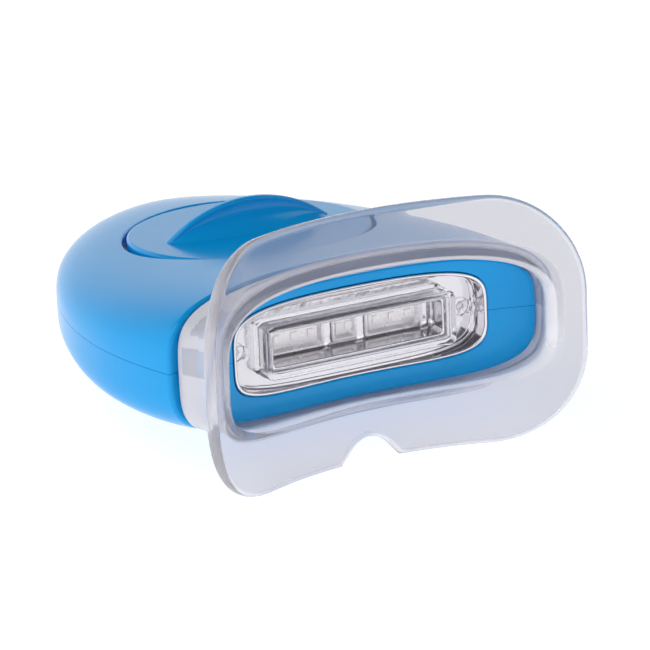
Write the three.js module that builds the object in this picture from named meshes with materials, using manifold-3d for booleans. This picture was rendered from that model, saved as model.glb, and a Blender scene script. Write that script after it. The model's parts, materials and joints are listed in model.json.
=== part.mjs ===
// Hand-held teeth whitening light, in millimetres, standing as it rests on a table.
//
// The pieces are drawn in the body's own frame: X to the right seen from the mouth end, Y from the
// mouth end back into the body, Z up. The last group leans that frame back until the mouthpiece's
// lower edge and the shell's underside touch the table, and puts the origin on the table under the
// middle of the object.
import * as THREE from 'three';
import { mergeVertices } from 'three/addons/utils/BufferGeometryUtils.js';
import Module from 'manifold-3d';

const wasm = await Module();
wasm.setup();

// Fits
const seatGap = 0.3; // between pieces that touch
const seamGap = 0.3; // between the two shells
const cutOverrun = 4; // how far a cutting tool passes what it cuts

// Mouthpiece: a lip flange bent round the teeth, and the neck behind it
const flangeHalfChord = 33;
const flangeHalfHeight = 20.2;
const flangeCornerRadius = 15.8;
const flangeBendRadius = 50.8;
const flangeThickness = 2.0;
// Rounding of the flange's rim: how far in from its edge and behind its middle, of its thickness
const flangeRollShares = [[0.5, -0.5], [0.14, -0.25], [0, 0], [0.14, 0.25], [0.5, 0.5]];
const notchHalfWidth = 5.3;
const notchDepth = 3.9;
const notchCrownPower = 2.2; // the higher, the flatter its crown
const notchFootPower = 1.3; // the higher, the wider its feet flare
const neckHalfWidth = 31.8;
const neckHalfHeight = 10.9;
const neckDrop = 1.7; // how much further the neck and the collar reach down than up
const neckWall = 1.5;
const neckSquareness = 4; // superellipse exponent of the neck's section
const windowHalfWidth = 28.0;
const windowHalfHeight = 10.5;
const windowFillet = 0.9;
const neckRootFillet = 1.2;
const neckRimRound = 0.45;
const mouthpieceRibWidth = 4.0;
const mouthpieceRibHeight = 0.8;
const mouthpieceRibLength = 4.0;

// Body: an egg in plan, flatter below, with a front hollowed to follow the lips
const bodyHalfWidth = 36.2;
const bodyWidestDepth = 21; // how far back the body is widest
const bodyRearLength = 55;
const bodyRearSquareness = 1.79; // superellipse exponents, here and below
const bodyFrontLength = 36.8;
const bodyFrontSquareness = 1.92;
const shoulderDepth = 7.1; // how far the shoulder lies behind the flange's apex, at the middle
const shoulderRadius = 83.6; // radius that hollows the shoulder and the front face
const shoulderFadeShare = 0.33; // share of the body's length over which the hollow dies out
const lastRingShare = 0.985; // how near its rear end the body's last ring lies
const sideEdgeShare = 0.999; // how near its widest line the crown and the belly start
const crownFront = 11.3;
const crownDip = 1.64;
const crownFall = 1.5;
const bellyFront = 13.1;
const bellyDip = 2.1;
const bellyFall = 5.4;
const crownSquareness = 2.94;
const bellySquareness = 6.2;
const crownFrontSquareness = 3.6;
const bellyFrontSquareness = 3.25;
const shellWall = 1.8;
const collarReach = 3.7; // how far the collar stands forward of the shoulder
const padDepth = 36; // flat pad below, measured from the flange's apex
const padHalfWidth = 13;
const padHalfLength = 10;
const padHeight = 7.9; // how far the pad lies below the body's axis

// Turn cap and its well
const capDepth = 37.9; // the cap's axis, measured from the flange's apex
const capLean = THREE.MathUtils.degToRad(2); // the axis leans back with the crown
const capTopHeight = 8.6;
const capRadius = 19.8;
const capThickness = 2.4;
const capChamfer = 0.6;
const wellClearance = 0.7;
const wellWall = 1.6;
const wellFloor = 2.0;
const skirtRadius = 13.4;
const skirtWall = 1.4;
const skirtLength = 3.6;
const skirtSink = 0.6; // how far the skirt is let into the disc
const lugReach = 1.5;
const lugHeight = 1.0;
const lugCount = 3;
const lugHalfAngle = THREE.MathUtils.degToRad(12);
const capTurn = THREE.MathUtils.degToRad(45); // from locked to where the lugs meet their gaps
const finHalfLength = 14.7;
const finHeight = 5.3;
const finRootWidth = 7.4;
const finRidgeWidth = 1.5;
const finFlare = 2.4; // power with which its faces spread towards the root
const finTipShare = 0.985; // how near its tips the last sections lie
const sealRadius = 16.6;
const sealThickness = 0.9;

// Light unit in the front face
const pocketHalfWidth = 22.5;
const pocketHalfHeight = 7.4;
const pocketSquareness = 4.6;
const trayLip = 0.2; // how far the tray's rim stands proud of the face
const trayWall = 0.8;
const trayFloorDepth = 4.0;
const trayFloorThickness = 1.0;
const lensHalfWidth = 16.7;
const lensHalfHeight = 4.4;
const lensCornerRadius = 1.1;
const lensFrontDepth = -0.2; // just ahead of the flange's apex
const lensWall = 0.9;
const lensFlangeThickness = 0.7;
const lensBossRadius = 1.5;
const lensBossBore = 0.6;
const lensBossReach = 0.5;
const lensBossInset = 1.6; // from the lens flange's end to a boss's axis
const ductFrontDepth = 2.1; // the duct's front edge, inside the lens box
const ductWall = 0.4;
const ductLength = 2.8; // behind the tray's floor
const emitterThickness = 1.8;
const centerEmitterSize = 4.4;
const sideEmitterWidth = 10;
const sideEmitterHeight = 5.0;
const sideEmitterSpacing = 17.4;
const lightBoardHalfWidth = 18;
const lightBoardHalfHeight = 5.6;
const lightBoardCorner = 1;
const boardThickness = 0.9;

// Inside of the body
const cellRadius = 10;
const cellThickness = 3.2;
const cellRimStep = 0.9;
const trayCupWall = 1.1;
const trayCupFloor = 1.0;
const trayCupRise = 3.8;
const contactThickness = 0.3;
const contactWidth = 4;
const contactFootLength = 2.4;
const contactPlateRadius = 7;
const controlBoardHalfWidth = 14;
const controlBoardHalfLength = 21;
const controlBoardShift = 3.5; // how far the board's middle lies forward of the cap's axis
const controlBoardCorner = 3;
const chipSize = 6;
const chipThickness = 1.4;
const buzzerRadius = 4.2;
const buzzerHeight = 2.6;
const buzzerPort = 0.8;
const buzzerPortDepth = 1.3;
const componentInset = 1.2; // from a component to the control board's end
const componentShift = 7; // from a component to the board's middle line
const postRadius = 1.8;
const postInset = 3.2;
const screwRadius = 1.0;
const screwHeadRadius = 1.9;
const screwHeadHeight = 1.3;
const screwLength = 8.5;
const screwSlotLength = 2.9;
const screwSlotWidth = 0.6;
const screwSlotDepth = 0.5;
const screwColumnRadius = 3.0;
const frontScrewDepth = 17.5;
const frontScrewInset = 9.2; // from the body's side to the screw's axis
const rearScrewDepth = 57.5;
const rearScrewInset = 8.5;
const screwSeatHeight = 4.6; // the head's seat, below the body's axis
const leadRadius = 0.45;
const leadRise = 1.6;
const leadSpacing = 3;
const leadHump = 0.4; // how far a lead lifts off the control board
// Turns of the battery leads: across, of their distance from the middle; back, of a cell's radius
const batteryLeadShares = [[1, 0.7], [0.8, 1.25]];

// Fineness of the curved surfaces
const bodyAroundSteps = 24;
const bodyAlongSteps = 15;
const hollowAroundSteps = 12;
const hollowAlongSteps = 7;
const neckSteps = 60;
const notchSteps = 12;
const roundSteps = 40;
const mediumRoundSteps = 24;
const smallRoundSteps = 16;
const outlineSteps = 44;
const boardOutlineSteps = 20;
const finSteps = 18;
const finLevels = 6;
const sealSides = 6;
const leadSides = 8;
const leadSteps = 12;
const mergeTolerance = 1e-5;
const leanTolerance = 1e-7;
const roundSquareness = 2; // a superellipse with this exponent is an ellipse

const blueFinish = { color: 0x2d9be6, roughness: 0.28, metalness: 0 };
const clearFinish = { color: 0xdcdae8, roughness: 0.05, metalness: 0 };
const silverFinish = { color: 0xd2d0cf, roughness: 0.2, metalness: 1 };
const boardFinish = { color: 0x1f6b3c, roughness: 0.5, metalness: 0 };
const steelFinish = { color: 0xb8babd, roughness: 0.3, metalness: 1 };
const emitterFinish = { color: 0xf2f0e4, roughness: 0.2, metalness: 0 };
const blackFinish = { color: 0x17181a, roughness: 0.55, metalness: 0 };
const innerPlasticFinish = { color: 0xe9e9e6, roughness: 0.5, metalness: 0 };
const redLeadFinish = { color: 0xb3201c, roughness: 0.45, metalness: 0 };

// Solids and booleans

function geometryFrom(points, triangles) {
  const geometry = new THREE.BufferGeometry();
  geometry.setAttribute('position', new THREE.Float32BufferAttribute(points.flat(), 3));
  geometry.setIndex(triangles.flat());
  return geometry;
}

function solidFrom(geometry) {
  const bare = geometry.clone();
  bare.deleteAttribute('normal');
  bare.deleteAttribute('uv');
  const merged = mergeVertices(bare, mergeTolerance);
  const source = Array.from(merged.index.array);
  const kept = [];
  for (let i = 0; i < source.length; i += 3) {
    const [a, b, c] = source.slice(i, i + 3);
    if (a !== b && b !== c && c !== a) kept.push(a, b, c);
  }
  return new wasm.Manifold(new wasm.Mesh({
    numProp: 3,
    vertProperties: new Float32Array(merged.attributes.position.array),
    triVerts: new Uint32Array(kept),
  }));
}

function geometryOf(solid) {
  const mesh = solid.getMesh();
  const geometry = new THREE.BufferGeometry();
  geometry.setAttribute('position', new THREE.BufferAttribute(new Float32Array(mesh.vertProperties), 3));
  geometry.setIndex(Array.from(mesh.triVerts));
  return geometry;
}

function joined(...solids) {
  return solids.reduce((sum, next) => sum.add(next));
}

function cutFrom(solid, ...tools) {
  return tools.reduce((rest, tool) => rest.subtract(tool), solid);
}

// Extrusion of an outline in X and Z, from one depth to another
function depthPrism(outline, fromDepth, toDepth) {
  const shape = new THREE.Shape(outline);
  const geometry = new THREE.ExtrudeGeometry(shape, { depth: toDepth - fromDepth, bevelEnabled: false });
  geometry.rotateX(Math.PI / 2);
  geometry.translate(0, toDepth, 0);
  return geometry;
}

// Extrusion of an outline in X and Y, from one height to another
function heightPrism(outline, fromHeight, toHeight) {
  const shape = new THREE.Shape(outline);
  const geometry = new THREE.ExtrudeGeometry(shape, { depth: toHeight - fromHeight, bevelEnabled: false });
  geometry.translate(0, 0, fromHeight);
  return geometry;
}

// Points of a superellipse, closer together at its corners
function superellipse(halfWidth, halfHeight, squareness, steps = outlineSteps) {
  const outline = [];
  for (let i = 0; i < steps; i += 1) {
    outline.push(superPoint(halfWidth, halfHeight, squareness, (2 * Math.PI * (i + 0.5)) / steps));
  }
  return outline;
}

function superPoint(halfWidth, halfHeight, squareness, turn) {
  const across = Math.cos(turn);
  const upward = Math.sin(turn);
  return new THREE.Vector2(
    halfWidth * Math.sign(across) * Math.abs(across) ** (2 / squareness),
    halfHeight * Math.sign(upward) * Math.abs(upward) ** (2 / squareness),
  );
}

// Distance from the middle of a rectangle with rounded corners to its edge, in a direction
function roundedReach(halfWidth, halfHeight, corner, angle) {
  const across = Math.abs(Math.cos(angle));
  const upward = Math.abs(Math.sin(angle));
  if (upward * halfWidth <= across * (halfHeight - corner)) return halfWidth / across;
  if (across * halfHeight <= upward * (halfWidth - corner)) return halfHeight / upward;
  const cornerX = halfWidth - corner;
  const cornerZ = halfHeight - corner;
  const along = cornerX * across + cornerZ * upward;
  return along + Math.sqrt(along ** 2 - (cornerX ** 2 + cornerZ ** 2 - corner ** 2));
}

function roundedRectangle(halfWidth, halfHeight, corner, steps = outlineSteps) {
  const outline = [];
  for (let i = 0; i < steps; i += 1) {
    const angle = (2 * Math.PI * (i + 0.5)) / steps;
    const reach = roundedReach(halfWidth, halfHeight, corner, angle);
    outline.push(new THREE.Vector2(reach * Math.cos(angle), reach * Math.sin(angle)));
  }
  return outline;
}

function rectangle(halfWidth, halfHeight) {
  return [
    new THREE.Vector2(-halfWidth, -halfHeight),
    new THREE.Vector2(halfWidth, -halfHeight),
    new THREE.Vector2(halfWidth, halfHeight),
    new THREE.Vector2(-halfWidth, halfHeight),
  ];
}

function shifted(outline, x, y) {
  return outline.map((point) => new THREE.Vector2(point.x + x, point.y + y));
}

// Upright cylinder from one height to another
function column(radius, x, y, fromHeight, toHeight, steps = smallRoundSteps) {
  const geometry = new THREE.CylinderGeometry(radius, radius, toHeight - fromHeight, steps);
  geometry.rotateX(Math.PI / 2);
  geometry.translate(x, y, (fromHeight + toHeight) / 2);
  return geometry;
}

// Body of revolution about Z, from a closed outline of radius and height
function turned(outline, steps = roundSteps) {
  const points = outline.map(([radius, height]) => new THREE.Vector2(radius, height));
  const geometry = new THREE.LatheGeometry([...points, points[0]], steps);
  geometry.rotateX(Math.PI / 2);
  return geometry;
}

// Surface through closed rings of equal length. Without ends it closes on its first ring.
function loft(rings, withEnds) {
  const count = rings[0].length;
  const triangles = [];
  const spans = withEnds ? rings.length - 1 : rings.length;
  for (let i = 0; i < spans; i += 1) {
    const near = i * count;
    const far = ((i + 1) % rings.length) * count;
    for (let j = 0; j < count; j += 1) {
      const next = (j + 1) % count;
      triangles.push([near + j, near + next, far + next], [near + j, far + next, far + j]);
    }
  }
  if (withEnds) {
    // Each end is filled by strips between the ring's upper and lower halves
    const last = (rings.length - 1) * count;
    for (let j = 0; j + 1 < count / 2; j += 1) {
      const low = count - 1 - j;
      triangles.push([j, low, j + 1], [j + 1, low, low - 1]);
      triangles.push([last + j, last + j + 1, last + low], [last + j + 1, last + low - 1, last + low]);
    }
  }
  return geometryFrom(rings.flat(), triangles);
}

// Body shape

// How far forward of its middle the hollowed shoulder lies, at a distance from the middle
function hollowReach(x) {
  return (x * x) / (2 * shoulderRadius);
}

function bodyWidthAt(depth, inset) {
  const offset = depth - bodyWidestDepth;
  const length = (offset < 0 ? bodyFrontLength : bodyRearLength - inset);
  const squareness = offset < 0 ? bodyFrontSquareness : bodyRearSquareness;
  const fullness = Math.max(0, 1 - Math.abs(offset / length) ** squareness);
  return (bodyHalfWidth - inset) * fullness ** (1 / squareness);
}

// Half of a section of the body: crown or belly heights over a row of widths
function sectionHeight(widthShare, depth, share, inset, upper) {
  const front = upper ? crownFront : bellyFront;
  const dip = upper ? crownDip : bellyDip;
  const fall = upper ? crownFall : bellyFall;
  const full = front - dip * 4 * share * (1 - share) - fall * share - inset;
  const rear = Math.max(0, depth - bodyWidestDepth) / (bodyRearLength - inset);
  const across = (Math.abs(widthShare) * bodyWidthAt(depth, inset)) / (bodyHalfWidth - inset);
  const power = bodyRearSquareness;
  const planShare = (across ** power + rear ** power) ** (1 / power);
  const edge = rear > 0 ? planShare : Math.abs(widthShare);
  const blend = Math.max(0, 1 - share / shoulderFadeShare) ** 2;
  const settled = upper ? crownSquareness : bellySquareness;
  const atShoulder = upper ? crownFrontSquareness : bellyFrontSquareness;
  const squareness = settled + (atShoulder - settled) * blend;
  return full * Math.max(0, 1 - edge ** squareness) ** (1 / squareness);
}

function bodyLoft(inset, aroundSteps, alongSteps) {
  const rings = [];
  const start = shoulderDepth + inset;
  const end = bodyWidestDepth + bodyRearLength - inset;
  for (let i = 0; i <= alongSteps; i += 1) {
    const share = Math.sin((i / alongSteps) * lastRingShare * (Math.PI / 2));
    const depth = start + (end - start) * share;
    const width = bodyWidthAt(depth, inset);
    const hollow = Math.max(0, 1 - share / shoulderFadeShare) ** 2;
    const ring = [];
    for (const upper of [true, false]) {
      for (let j = 0; j <= aroundSteps; j += 1) {
        const turn = (j / aroundSteps - 0.5) * Math.PI * (upper ? 1 : -1);
        const widthShare = Math.sin(turn * sideEdgeShare);
        const x = width * widthShare;
        const height = sectionHeight(widthShare, depth, share, inset, upper);
        ring.push([x, depth - hollowReach(x) * hollow, upper ? height : -height]);
      }
    }
    rings.push(ring);
  }
  return loft(rings, true);
}

// Sleeve shape with a hollowed front, from the front face's depth to a flat end. Its lower half can
// be deeper than its upper one by a drop.
function hollowedPrism(halfWidth, halfHeight, squareness, frontDepth, endDepth, drop = 0) {
  const steps = outlineSteps / 2;
  const front = [];
  const back = [];
  for (const upper of [true, false]) {
    for (let j = 0; j < steps; j += 1) {
      const share = (j + 0.5) / steps;
      const height = halfHeight + (upper ? 0 : drop);
      const point = superPoint(halfWidth, height, squareness, Math.PI * (upper ? 1 - share : -share));
      const [x, z] = [point.x, point.y];
      front.push([x, frontDepth - hollowReach(x), z]);
      back.push([x, endDepth, z]);
    }
  }
  return loft([front, back], true);
}

// Places a geometry that is drawn about the cap's axis, with its zero at the cap's top face
function onCapAxis(geometry) {
  geometry.rotateX(-capLean);
  geometry.translate(0, capDepth, capTopHeight);
  return geometry;
}

const flangeHalfLength = flangeBendRadius * Math.asin(flangeHalfChord / flangeBendRadius);
const faceDepth = shoulderDepth - collarReach;
const collarHalfWidth = neckHalfWidth - neckWall - seatGap;
const collarHalfHeight = neckHalfHeight - neckWall - seatGap;
const wellRadius = capRadius + wellClearance;
const wellFloorTop = -capThickness - seatGap;
const wellFloorBottom = wellFloorTop - wellFloor;
const bayRadius = skirtRadius + seatGap;
const lugRadius = skirtRadius + lugReach;
const lensFlangeHalfWidth = pocketHalfWidth - 2 * seatGap - trayWall;
const lensFlangeHalfHeight = pocketHalfHeight - 2 * seatGap - trayWall;
const ductHalfWidth = lensHalfWidth - lensWall - seatGap;
const ductHalfHeight = lensHalfHeight - lensWall - seatGap;
const screwPlaces = [
  [frontScrewDepth, frontScrewInset],
  [rearScrewDepth, rearScrewInset],
].flatMap(([depth, inset]) => {
  const x = bodyWidthAt(depth, 0) - inset;
  return [[-x, depth], [x, depth]];
});

// Stack of the battery bay, from the cap's underside down, on the body's axis
const contactPlateTop = capTopHeight - capThickness - seatGap;
const upperCellTop = contactPlateTop - contactThickness - seatGap;
const upperCellBottom = upperCellTop - cellThickness;
const lowerCellTop = upperCellBottom - seatGap;
const lowerCellBottom = lowerCellTop - cellThickness;
const trayContactTop = lowerCellBottom - seatGap;
const trayFloorTop = trayContactTop - contactThickness - seatGap;
const trayFloorBottom = trayFloorTop - trayCupFloor;
const controlBoardTop = trayFloorBottom - seatGap;
const controlBoardBottom = controlBoardTop - boardThickness;
const controlBoardDepth = capDepth - controlBoardShift;
const controlBoardFront = controlBoardDepth - controlBoardHalfLength;
const controlBoardRear = controlBoardDepth + controlBoardHalfLength;

function seamBox(upper) {
  const reach = 2 * (bodyHalfWidth + bodyRearLength);
  const box = new THREE.BoxGeometry(reach, reach, reach);
  box.translate(0, 0, (upper ? 1 : -1) * (reach / 2 + seamGap / 2));
  return solidFrom(box);
}

function mouthpieceRib(side, clearance) {
  const depth = faceDepth - hollowReach(collarHalfWidth);
  const geometry = new THREE.BoxGeometry(
    2 * (mouthpieceRibHeight + clearance),
    mouthpieceRibLength + 2 * clearance,
    mouthpieceRibWidth + 2 * clearance,
  );
  geometry.translate(side * (neckHalfWidth - neckWall), depth + mouthpieceRibLength / 2, 0);
  return solidFrom(geometry);
}

function ribGroove(side) {
  const length = mouthpieceRibLength + cutOverrun;
  const geometry = new THREE.BoxGeometry(
    2 * (mouthpieceRibHeight + seatGap),
    length + seatGap,
    mouthpieceRibWidth + 2 * seatGap,
  );
  const end = faceDepth - hollowReach(collarHalfWidth) + mouthpieceRibLength + seatGap;
  geometry.translate(side * (neckHalfWidth - neckWall), end - length / 2, 0);
  return solidFrom(geometry);
}

function lugAngles() {
  return Array.from({ length: lugCount }, (_, i) => (2 * Math.PI * i) / lugCount + Math.PI / 2);
}

// Outline of a piece of a ring round the cap's axis
function sector(innerRadius, outerRadius, middle, halfAngle) {
  const corners = [
    [innerRadius, middle - halfAngle],
    [outerRadius, middle - halfAngle],
    [outerRadius, middle],
    [outerRadius, middle + halfAngle],
    [innerRadius, middle + halfAngle],
  ];
  return corners.map(([radius, angle]) => (
    new THREE.Vector2(radius * Math.cos(angle), radius * Math.sin(angle))
  ));
}

// The shells before the seam parts them
const outerBody = solidFrom(bodyLoft(0, bodyAroundSteps, bodyAlongSteps));
const innerBody = solidFrom(bodyLoft(shellWall, hollowAroundSteps, hollowAlongSteps));
const collar = solidFrom(hollowedPrism(
  collarHalfWidth, collarHalfHeight, neckSquareness, faceDepth, shoulderDepth + shellWall + cutOverrun,
  neckDrop,
));
const collarHollow = solidFrom(hollowedPrism(
  collarHalfWidth - shellWall, collarHalfHeight - shellWall, neckSquareness,
  faceDepth + shellWall, shoulderDepth + shellWall + 2 * cutOverrun, neckDrop,
));
const wellCup = solidFrom(onCapAxis(
  column(wellRadius + wellWall, 0, 0, wellFloorBottom, cutOverrun, roundSteps),
)).intersect(outerBody);

function screwHole(x, y) {
  const tip = screwLength - screwSeatHeight;
  const shaft = column(screwRadius + seatGap, x, y, -screwSeatHeight - cutOverrun, tip + seatGap);
  const head = column(
    screwHeadRadius + seatGap, x, y, -bellyFront - cutOverrun, -screwSeatHeight, smallRoundSteps,
  );
  return joined(solidFrom(shaft), solidFrom(head));
}

function makeShells() {
  let whole = joined(outerBody, collar).subtract(joined(innerBody, collarHollow));
  const columns = screwPlaces.map(([x, y]) => (
    solidFrom(column(screwColumnRadius, x, y, -bellyFront, crownFront)).intersect(outerBody)
  ));
  const boardPosts = [-1, 1].flatMap((side) => [-1, 1].map((end) => solidFrom(column(
    postRadius,
    side * (controlBoardHalfWidth - postInset),
    controlBoardDepth + end * (controlBoardHalfLength - postInset),
    -bellyFront,
    controlBoardBottom - seatGap,
  )).intersect(outerBody)));
  whole = joined(whole, wellCup, ...columns, ...boardPosts);
  const pocket = solidFrom(depthPrism(
    superellipse(pocketHalfWidth, pocketHalfHeight, pocketSquareness),
    -cutOverrun - faceDepth, shoulderDepth + shellWall,
  ));
  const well = solidFrom(onCapAxis(column(wellRadius, 0, 0, wellFloorTop, 2 * cutOverrun, roundSteps)));
  const bay = solidFrom(onCapAxis(
    column(bayRadius, 0, 0, wellFloorBottom - cutOverrun, wellFloorTop + cutOverrun, roundSteps),
  ));
  const lugGaps = lugAngles().map((middle) => solidFrom(onCapAxis(heightPrism(
    sector(skirtRadius, lugRadius + seatGap, middle + capTurn, lugHalfAngle + seatGap / skirtRadius),
    wellFloorBottom - cutOverrun, wellFloorTop + cutOverrun,
  ))));
  const sealGroove = solidFrom(onCapAxis(turned([
    [sealRadius - sealThickness / 2 - seatGap, wellFloorTop - sealThickness],
    [sealRadius + sealThickness / 2 + seatGap, wellFloorTop - sealThickness],
    [sealRadius + sealThickness / 2 + seatGap, wellFloorTop + seatGap],
    [sealRadius - sealThickness / 2 - seatGap, wellFloorTop + seatGap],
  ])));
  const pad = solidFrom(heightPrism(
    shifted(superellipse(padHalfWidth, padHalfLength, roundSquareness), 0, padDepth),
    -bellyFront - cutOverrun, -padHeight,
  ));
  const holes = screwPlaces.map(([x, y]) => screwHole(x, y));
  const grooves = [ribGroove(-1), ribGroove(1)];
  whole = cutFrom(whole, pocket, well, bay, ...lugGaps, sealGroove, pad, ...grooves, ...holes);
  return [whole.intersect(seamBox(true)), whole.intersect(seamBox(false))];
}

// Mouthpiece

// Turns of the parameter round the mouthpiece, closer together below the notch
function ringTurns() {
  const half = Math.atan(notchHalfWidth / flangeHalfLength);
  const turns = [];
  for (let i = 0; i < notchSteps; i += 1) {
    turns.push(-Math.PI / 2 - half + (2 * half * i) / notchSteps);
  }
  for (let i = 0; i < neckSteps; i += 1) {
    turns.push(-Math.PI / 2 + half + ((2 * Math.PI - 2 * half) * i) / neckSteps);
  }
  return turns;
}

// Point on the bent flange: distance along the bend, height, and distance behind its middle surface
function onFlange(along, height, behind) {
  const radius = flangeBendRadius + behind;
  const angle = along / flangeBendRadius;
  return [radius * Math.sin(angle), radius * Math.cos(angle) - flangeBendRadius, height];
}

// Outline of the flange, drawn in by an inset, with the notch in its lower edge
function flangeEdge(turn, inset) {
  const angle = Math.atan2(flangeHalfHeight * Math.sin(turn), flangeHalfLength * Math.cos(turn));
  const reach = roundedReach(
    flangeHalfLength - inset, flangeHalfHeight - inset, flangeCornerRadius - inset, angle,
  );
  const along = reach * Math.cos(angle);
  let height = reach * Math.sin(angle);
  const acrossNotch = Math.abs(along) / (notchHalfWidth + inset);
  if (height < 0 && acrossNotch < 1) {
    height += notchDepth * (1 - acrossNotch ** notchCrownPower) ** notchFootPower;
  }
  return [along, height];
}

function superRing(turns, halfWidth, halfHeight, depthAt, drop = 0) {
  return turns.map((turn) => {
    const height = halfHeight + (Math.sin(turn) < 0 ? drop : 0);
    const point = superPoint(halfWidth, height, neckSquareness, turn);
    return [point.x, depthAt(point.x), point.y];
  });
}

function flangeRing(turns, inset, behind) {
  return turns.map((turn) => onFlange(...flangeEdge(turn, inset), behind));
}

// Depth of a surface parallel to the bent flange, at a distance from the middle
function flangeDepth(x, behind) {
  const radius = flangeBendRadius + behind;
  return Math.sqrt(radius ** 2 - x ** 2) - flangeBendRadius;
}

function makeMouthpiece() {
  const turns = ringTurns();
  const front = -flangeThickness / 2;
  const back = flangeThickness / 2;
  const innerWidth = neckHalfWidth - neckWall;
  const innerHeight = neckHalfHeight - neckWall;
  const rootWidth = windowHalfWidth + neckWall;
  const rootHeight = windowHalfHeight + neckWall;
  const rim = (x) => shoulderDepth - seatGap - hollowReach(x);
  const clearOfCollar = (x) => faceDepth - hollowReach(x) - 2 * seatGap;
  const frontFace = (x) => flangeDepth(x, front);
  const backFace = (x) => flangeDepth(x, back);
  const rings = [
    superRing(turns, innerWidth, innerHeight, rim, neckDrop),
    superRing(turns, innerWidth, innerHeight, clearOfCollar, neckDrop),
    superRing(turns, windowHalfWidth, windowHalfHeight, (x) => frontFace(x) + windowFillet),
    superRing(turns, windowHalfWidth + windowFillet, windowHalfHeight + windowFillet, frontFace),
    ...flangeRollShares.map(([insetShare, behindShare]) => (
      flangeRing(turns, flangeThickness * insetShare, flangeThickness * behindShare)
    )),
    superRing(turns, rootWidth + neckRootFillet, rootHeight + neckRootFillet, backFace),
    superRing(turns, rootWidth, rootHeight, (x) => backFace(x) + neckRootFillet),
    superRing(turns, neckHalfWidth, neckHalfHeight, (x) => rim(x) - neckRimRound, neckDrop),
    superRing(turns, neckHalfWidth - neckRimRound, neckHalfHeight - neckRimRound, rim, neckDrop),
  ];
  const wall = solidFrom(loft(rings.reverse(), false));
  const room = solidFrom(depthPrism(
    superellipse(innerWidth + neckWall / 2, innerHeight + neckWall / 2, neckSquareness),
    -flangeHalfChord, shoulderDepth,
  ));
  const ribs = [-1, 1].map((side) => mouthpieceRib(side, 0).intersect(room));
  return joined(wall, ...ribs);
}

// Turn cap, drawn with its top face at zero height

function finSolid() {
  const bend = (finHalfLength ** 2 + finHeight ** 2) / (2 * finHeight);
  const rings = [];
  for (let i = 0; i <= finSteps; i += 1) {
    const x = finHalfLength * Math.sin((i / finSteps - 0.5) * Math.PI * finTipShare);
    const height = Math.sqrt(bend ** 2 - x ** 2) - (bend - finHeight);
    const slimming = Math.sqrt(Math.max(0, height / finHeight));
    const ridge = Math.min(finRidgeWidth, finRootWidth * slimming) / 2;
    const root = ridge + (finRootWidth / 2 - finRidgeWidth / 2) * slimming;
    const side = [];
    for (let j = 0; j <= finLevels; j += 1) {
      const rise = j / finLevels;
      side.push([ridge + (root - ridge) * (1 - rise) ** finFlare, height * rise]);
    }
    const sunk = [root, -capThickness / 2];
    const left = [sunk, ...side].map(([reach, z]) => [x, -reach, z]);
    const right = [...side].reverse().concat([sunk]).map(([reach, z]) => [x, reach, z]);
    rings.push([...left, ...right].reverse());
  }
  return solidFrom(loft(rings, true));
}

function makeTurnCap() {
  const under = -capThickness;
  const disc = turned([
    [0, under],
    [capRadius - capChamfer / 2, under],
    [capRadius, under + capChamfer / 2],
    [capRadius, -capChamfer],
    [capRadius - capChamfer, 0],
    [0, 0],
  ]);
  const skirtBottom = under - skirtLength;
  const skirt = turned([
    [skirtRadius - skirtWall, skirtBottom],
    [skirtRadius, skirtBottom],
    [skirtRadius, under + skirtSink],
    [skirtRadius - skirtWall, under + skirtSink],
  ]);
  const lugTop = wellFloorBottom - seatGap;
  const lugs = lugAngles().map((middle) => solidFrom(heightPrism(
    sector(skirtRadius - skirtWall / 2, lugRadius, middle, lugHalfAngle), lugTop - lugHeight, lugTop,
  )));
  const whole = joined(solidFrom(disc), solidFrom(skirt), finSolid(), ...lugs);
  return onCapAxis(geometryOf(whole));
}

function makeContactPlate() {
  const plate = column(contactPlateRadius, 0, 0, 0, contactThickness, mediumRoundSteps);
  plate.translate(0, 0, -capThickness - seatGap - contactThickness);
  return onCapAxis(plate);
}

function makeSealRing() {
  const half = sealThickness / 2;
  const outline = [];
  for (let i = 0; i < sealSides; i += 1) {
    const angle = (2 * Math.PI * (i + 0.5)) / sealSides;
    outline.push([sealRadius + half * Math.cos(angle), half * Math.sin(angle)]);
  }
  const ring = turned(outline, roundSteps);
  ring.translate(0, 0, wellFloorTop - sealThickness + seatGap + half);
  return onCapAxis(ring);
}

// Light unit

function makeReflectorTray() {
  const outer = [pocketHalfWidth - seatGap, pocketHalfHeight - seatGap];
  const floorBack = trayFloorDepth + trayFloorThickness;
  const ductBack = floorBack + ductLength;
  const block = solidFrom(hollowedPrism(
    outer[0], outer[1], pocketSquareness, faceDepth - trayLip, floorBack,
  ));
  const duct = solidFrom(depthPrism(rectangle(ductHalfWidth, ductHalfHeight), ductFrontDepth, ductBack));
  const basin = solidFrom(depthPrism(
    superellipse(outer[0] - trayWall, outer[1] - trayWall, pocketSquareness),
    -cutOverrun - faceDepth, trayFloorDepth,
  ));
  const lightHole = solidFrom(depthPrism(
    rectangle(ductHalfWidth - ductWall, ductHalfHeight - ductWall), -cutOverrun, ductBack + cutOverrun,
  ));
  return geometryOf(cutFrom(joined(cutFrom(block, basin), duct), lightHole));
}

// Cylinder on a boss's axis, from one depth to another
function lensRound(side, radius, fromDepth, toDepth) {
  const round = column(radius, 0, 0, fromDepth, toDepth);
  round.rotateX(-Math.PI / 2);
  round.translate(side * (lensFlangeHalfWidth - lensBossInset), 0, 0);
  return solidFrom(round);
}

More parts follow.
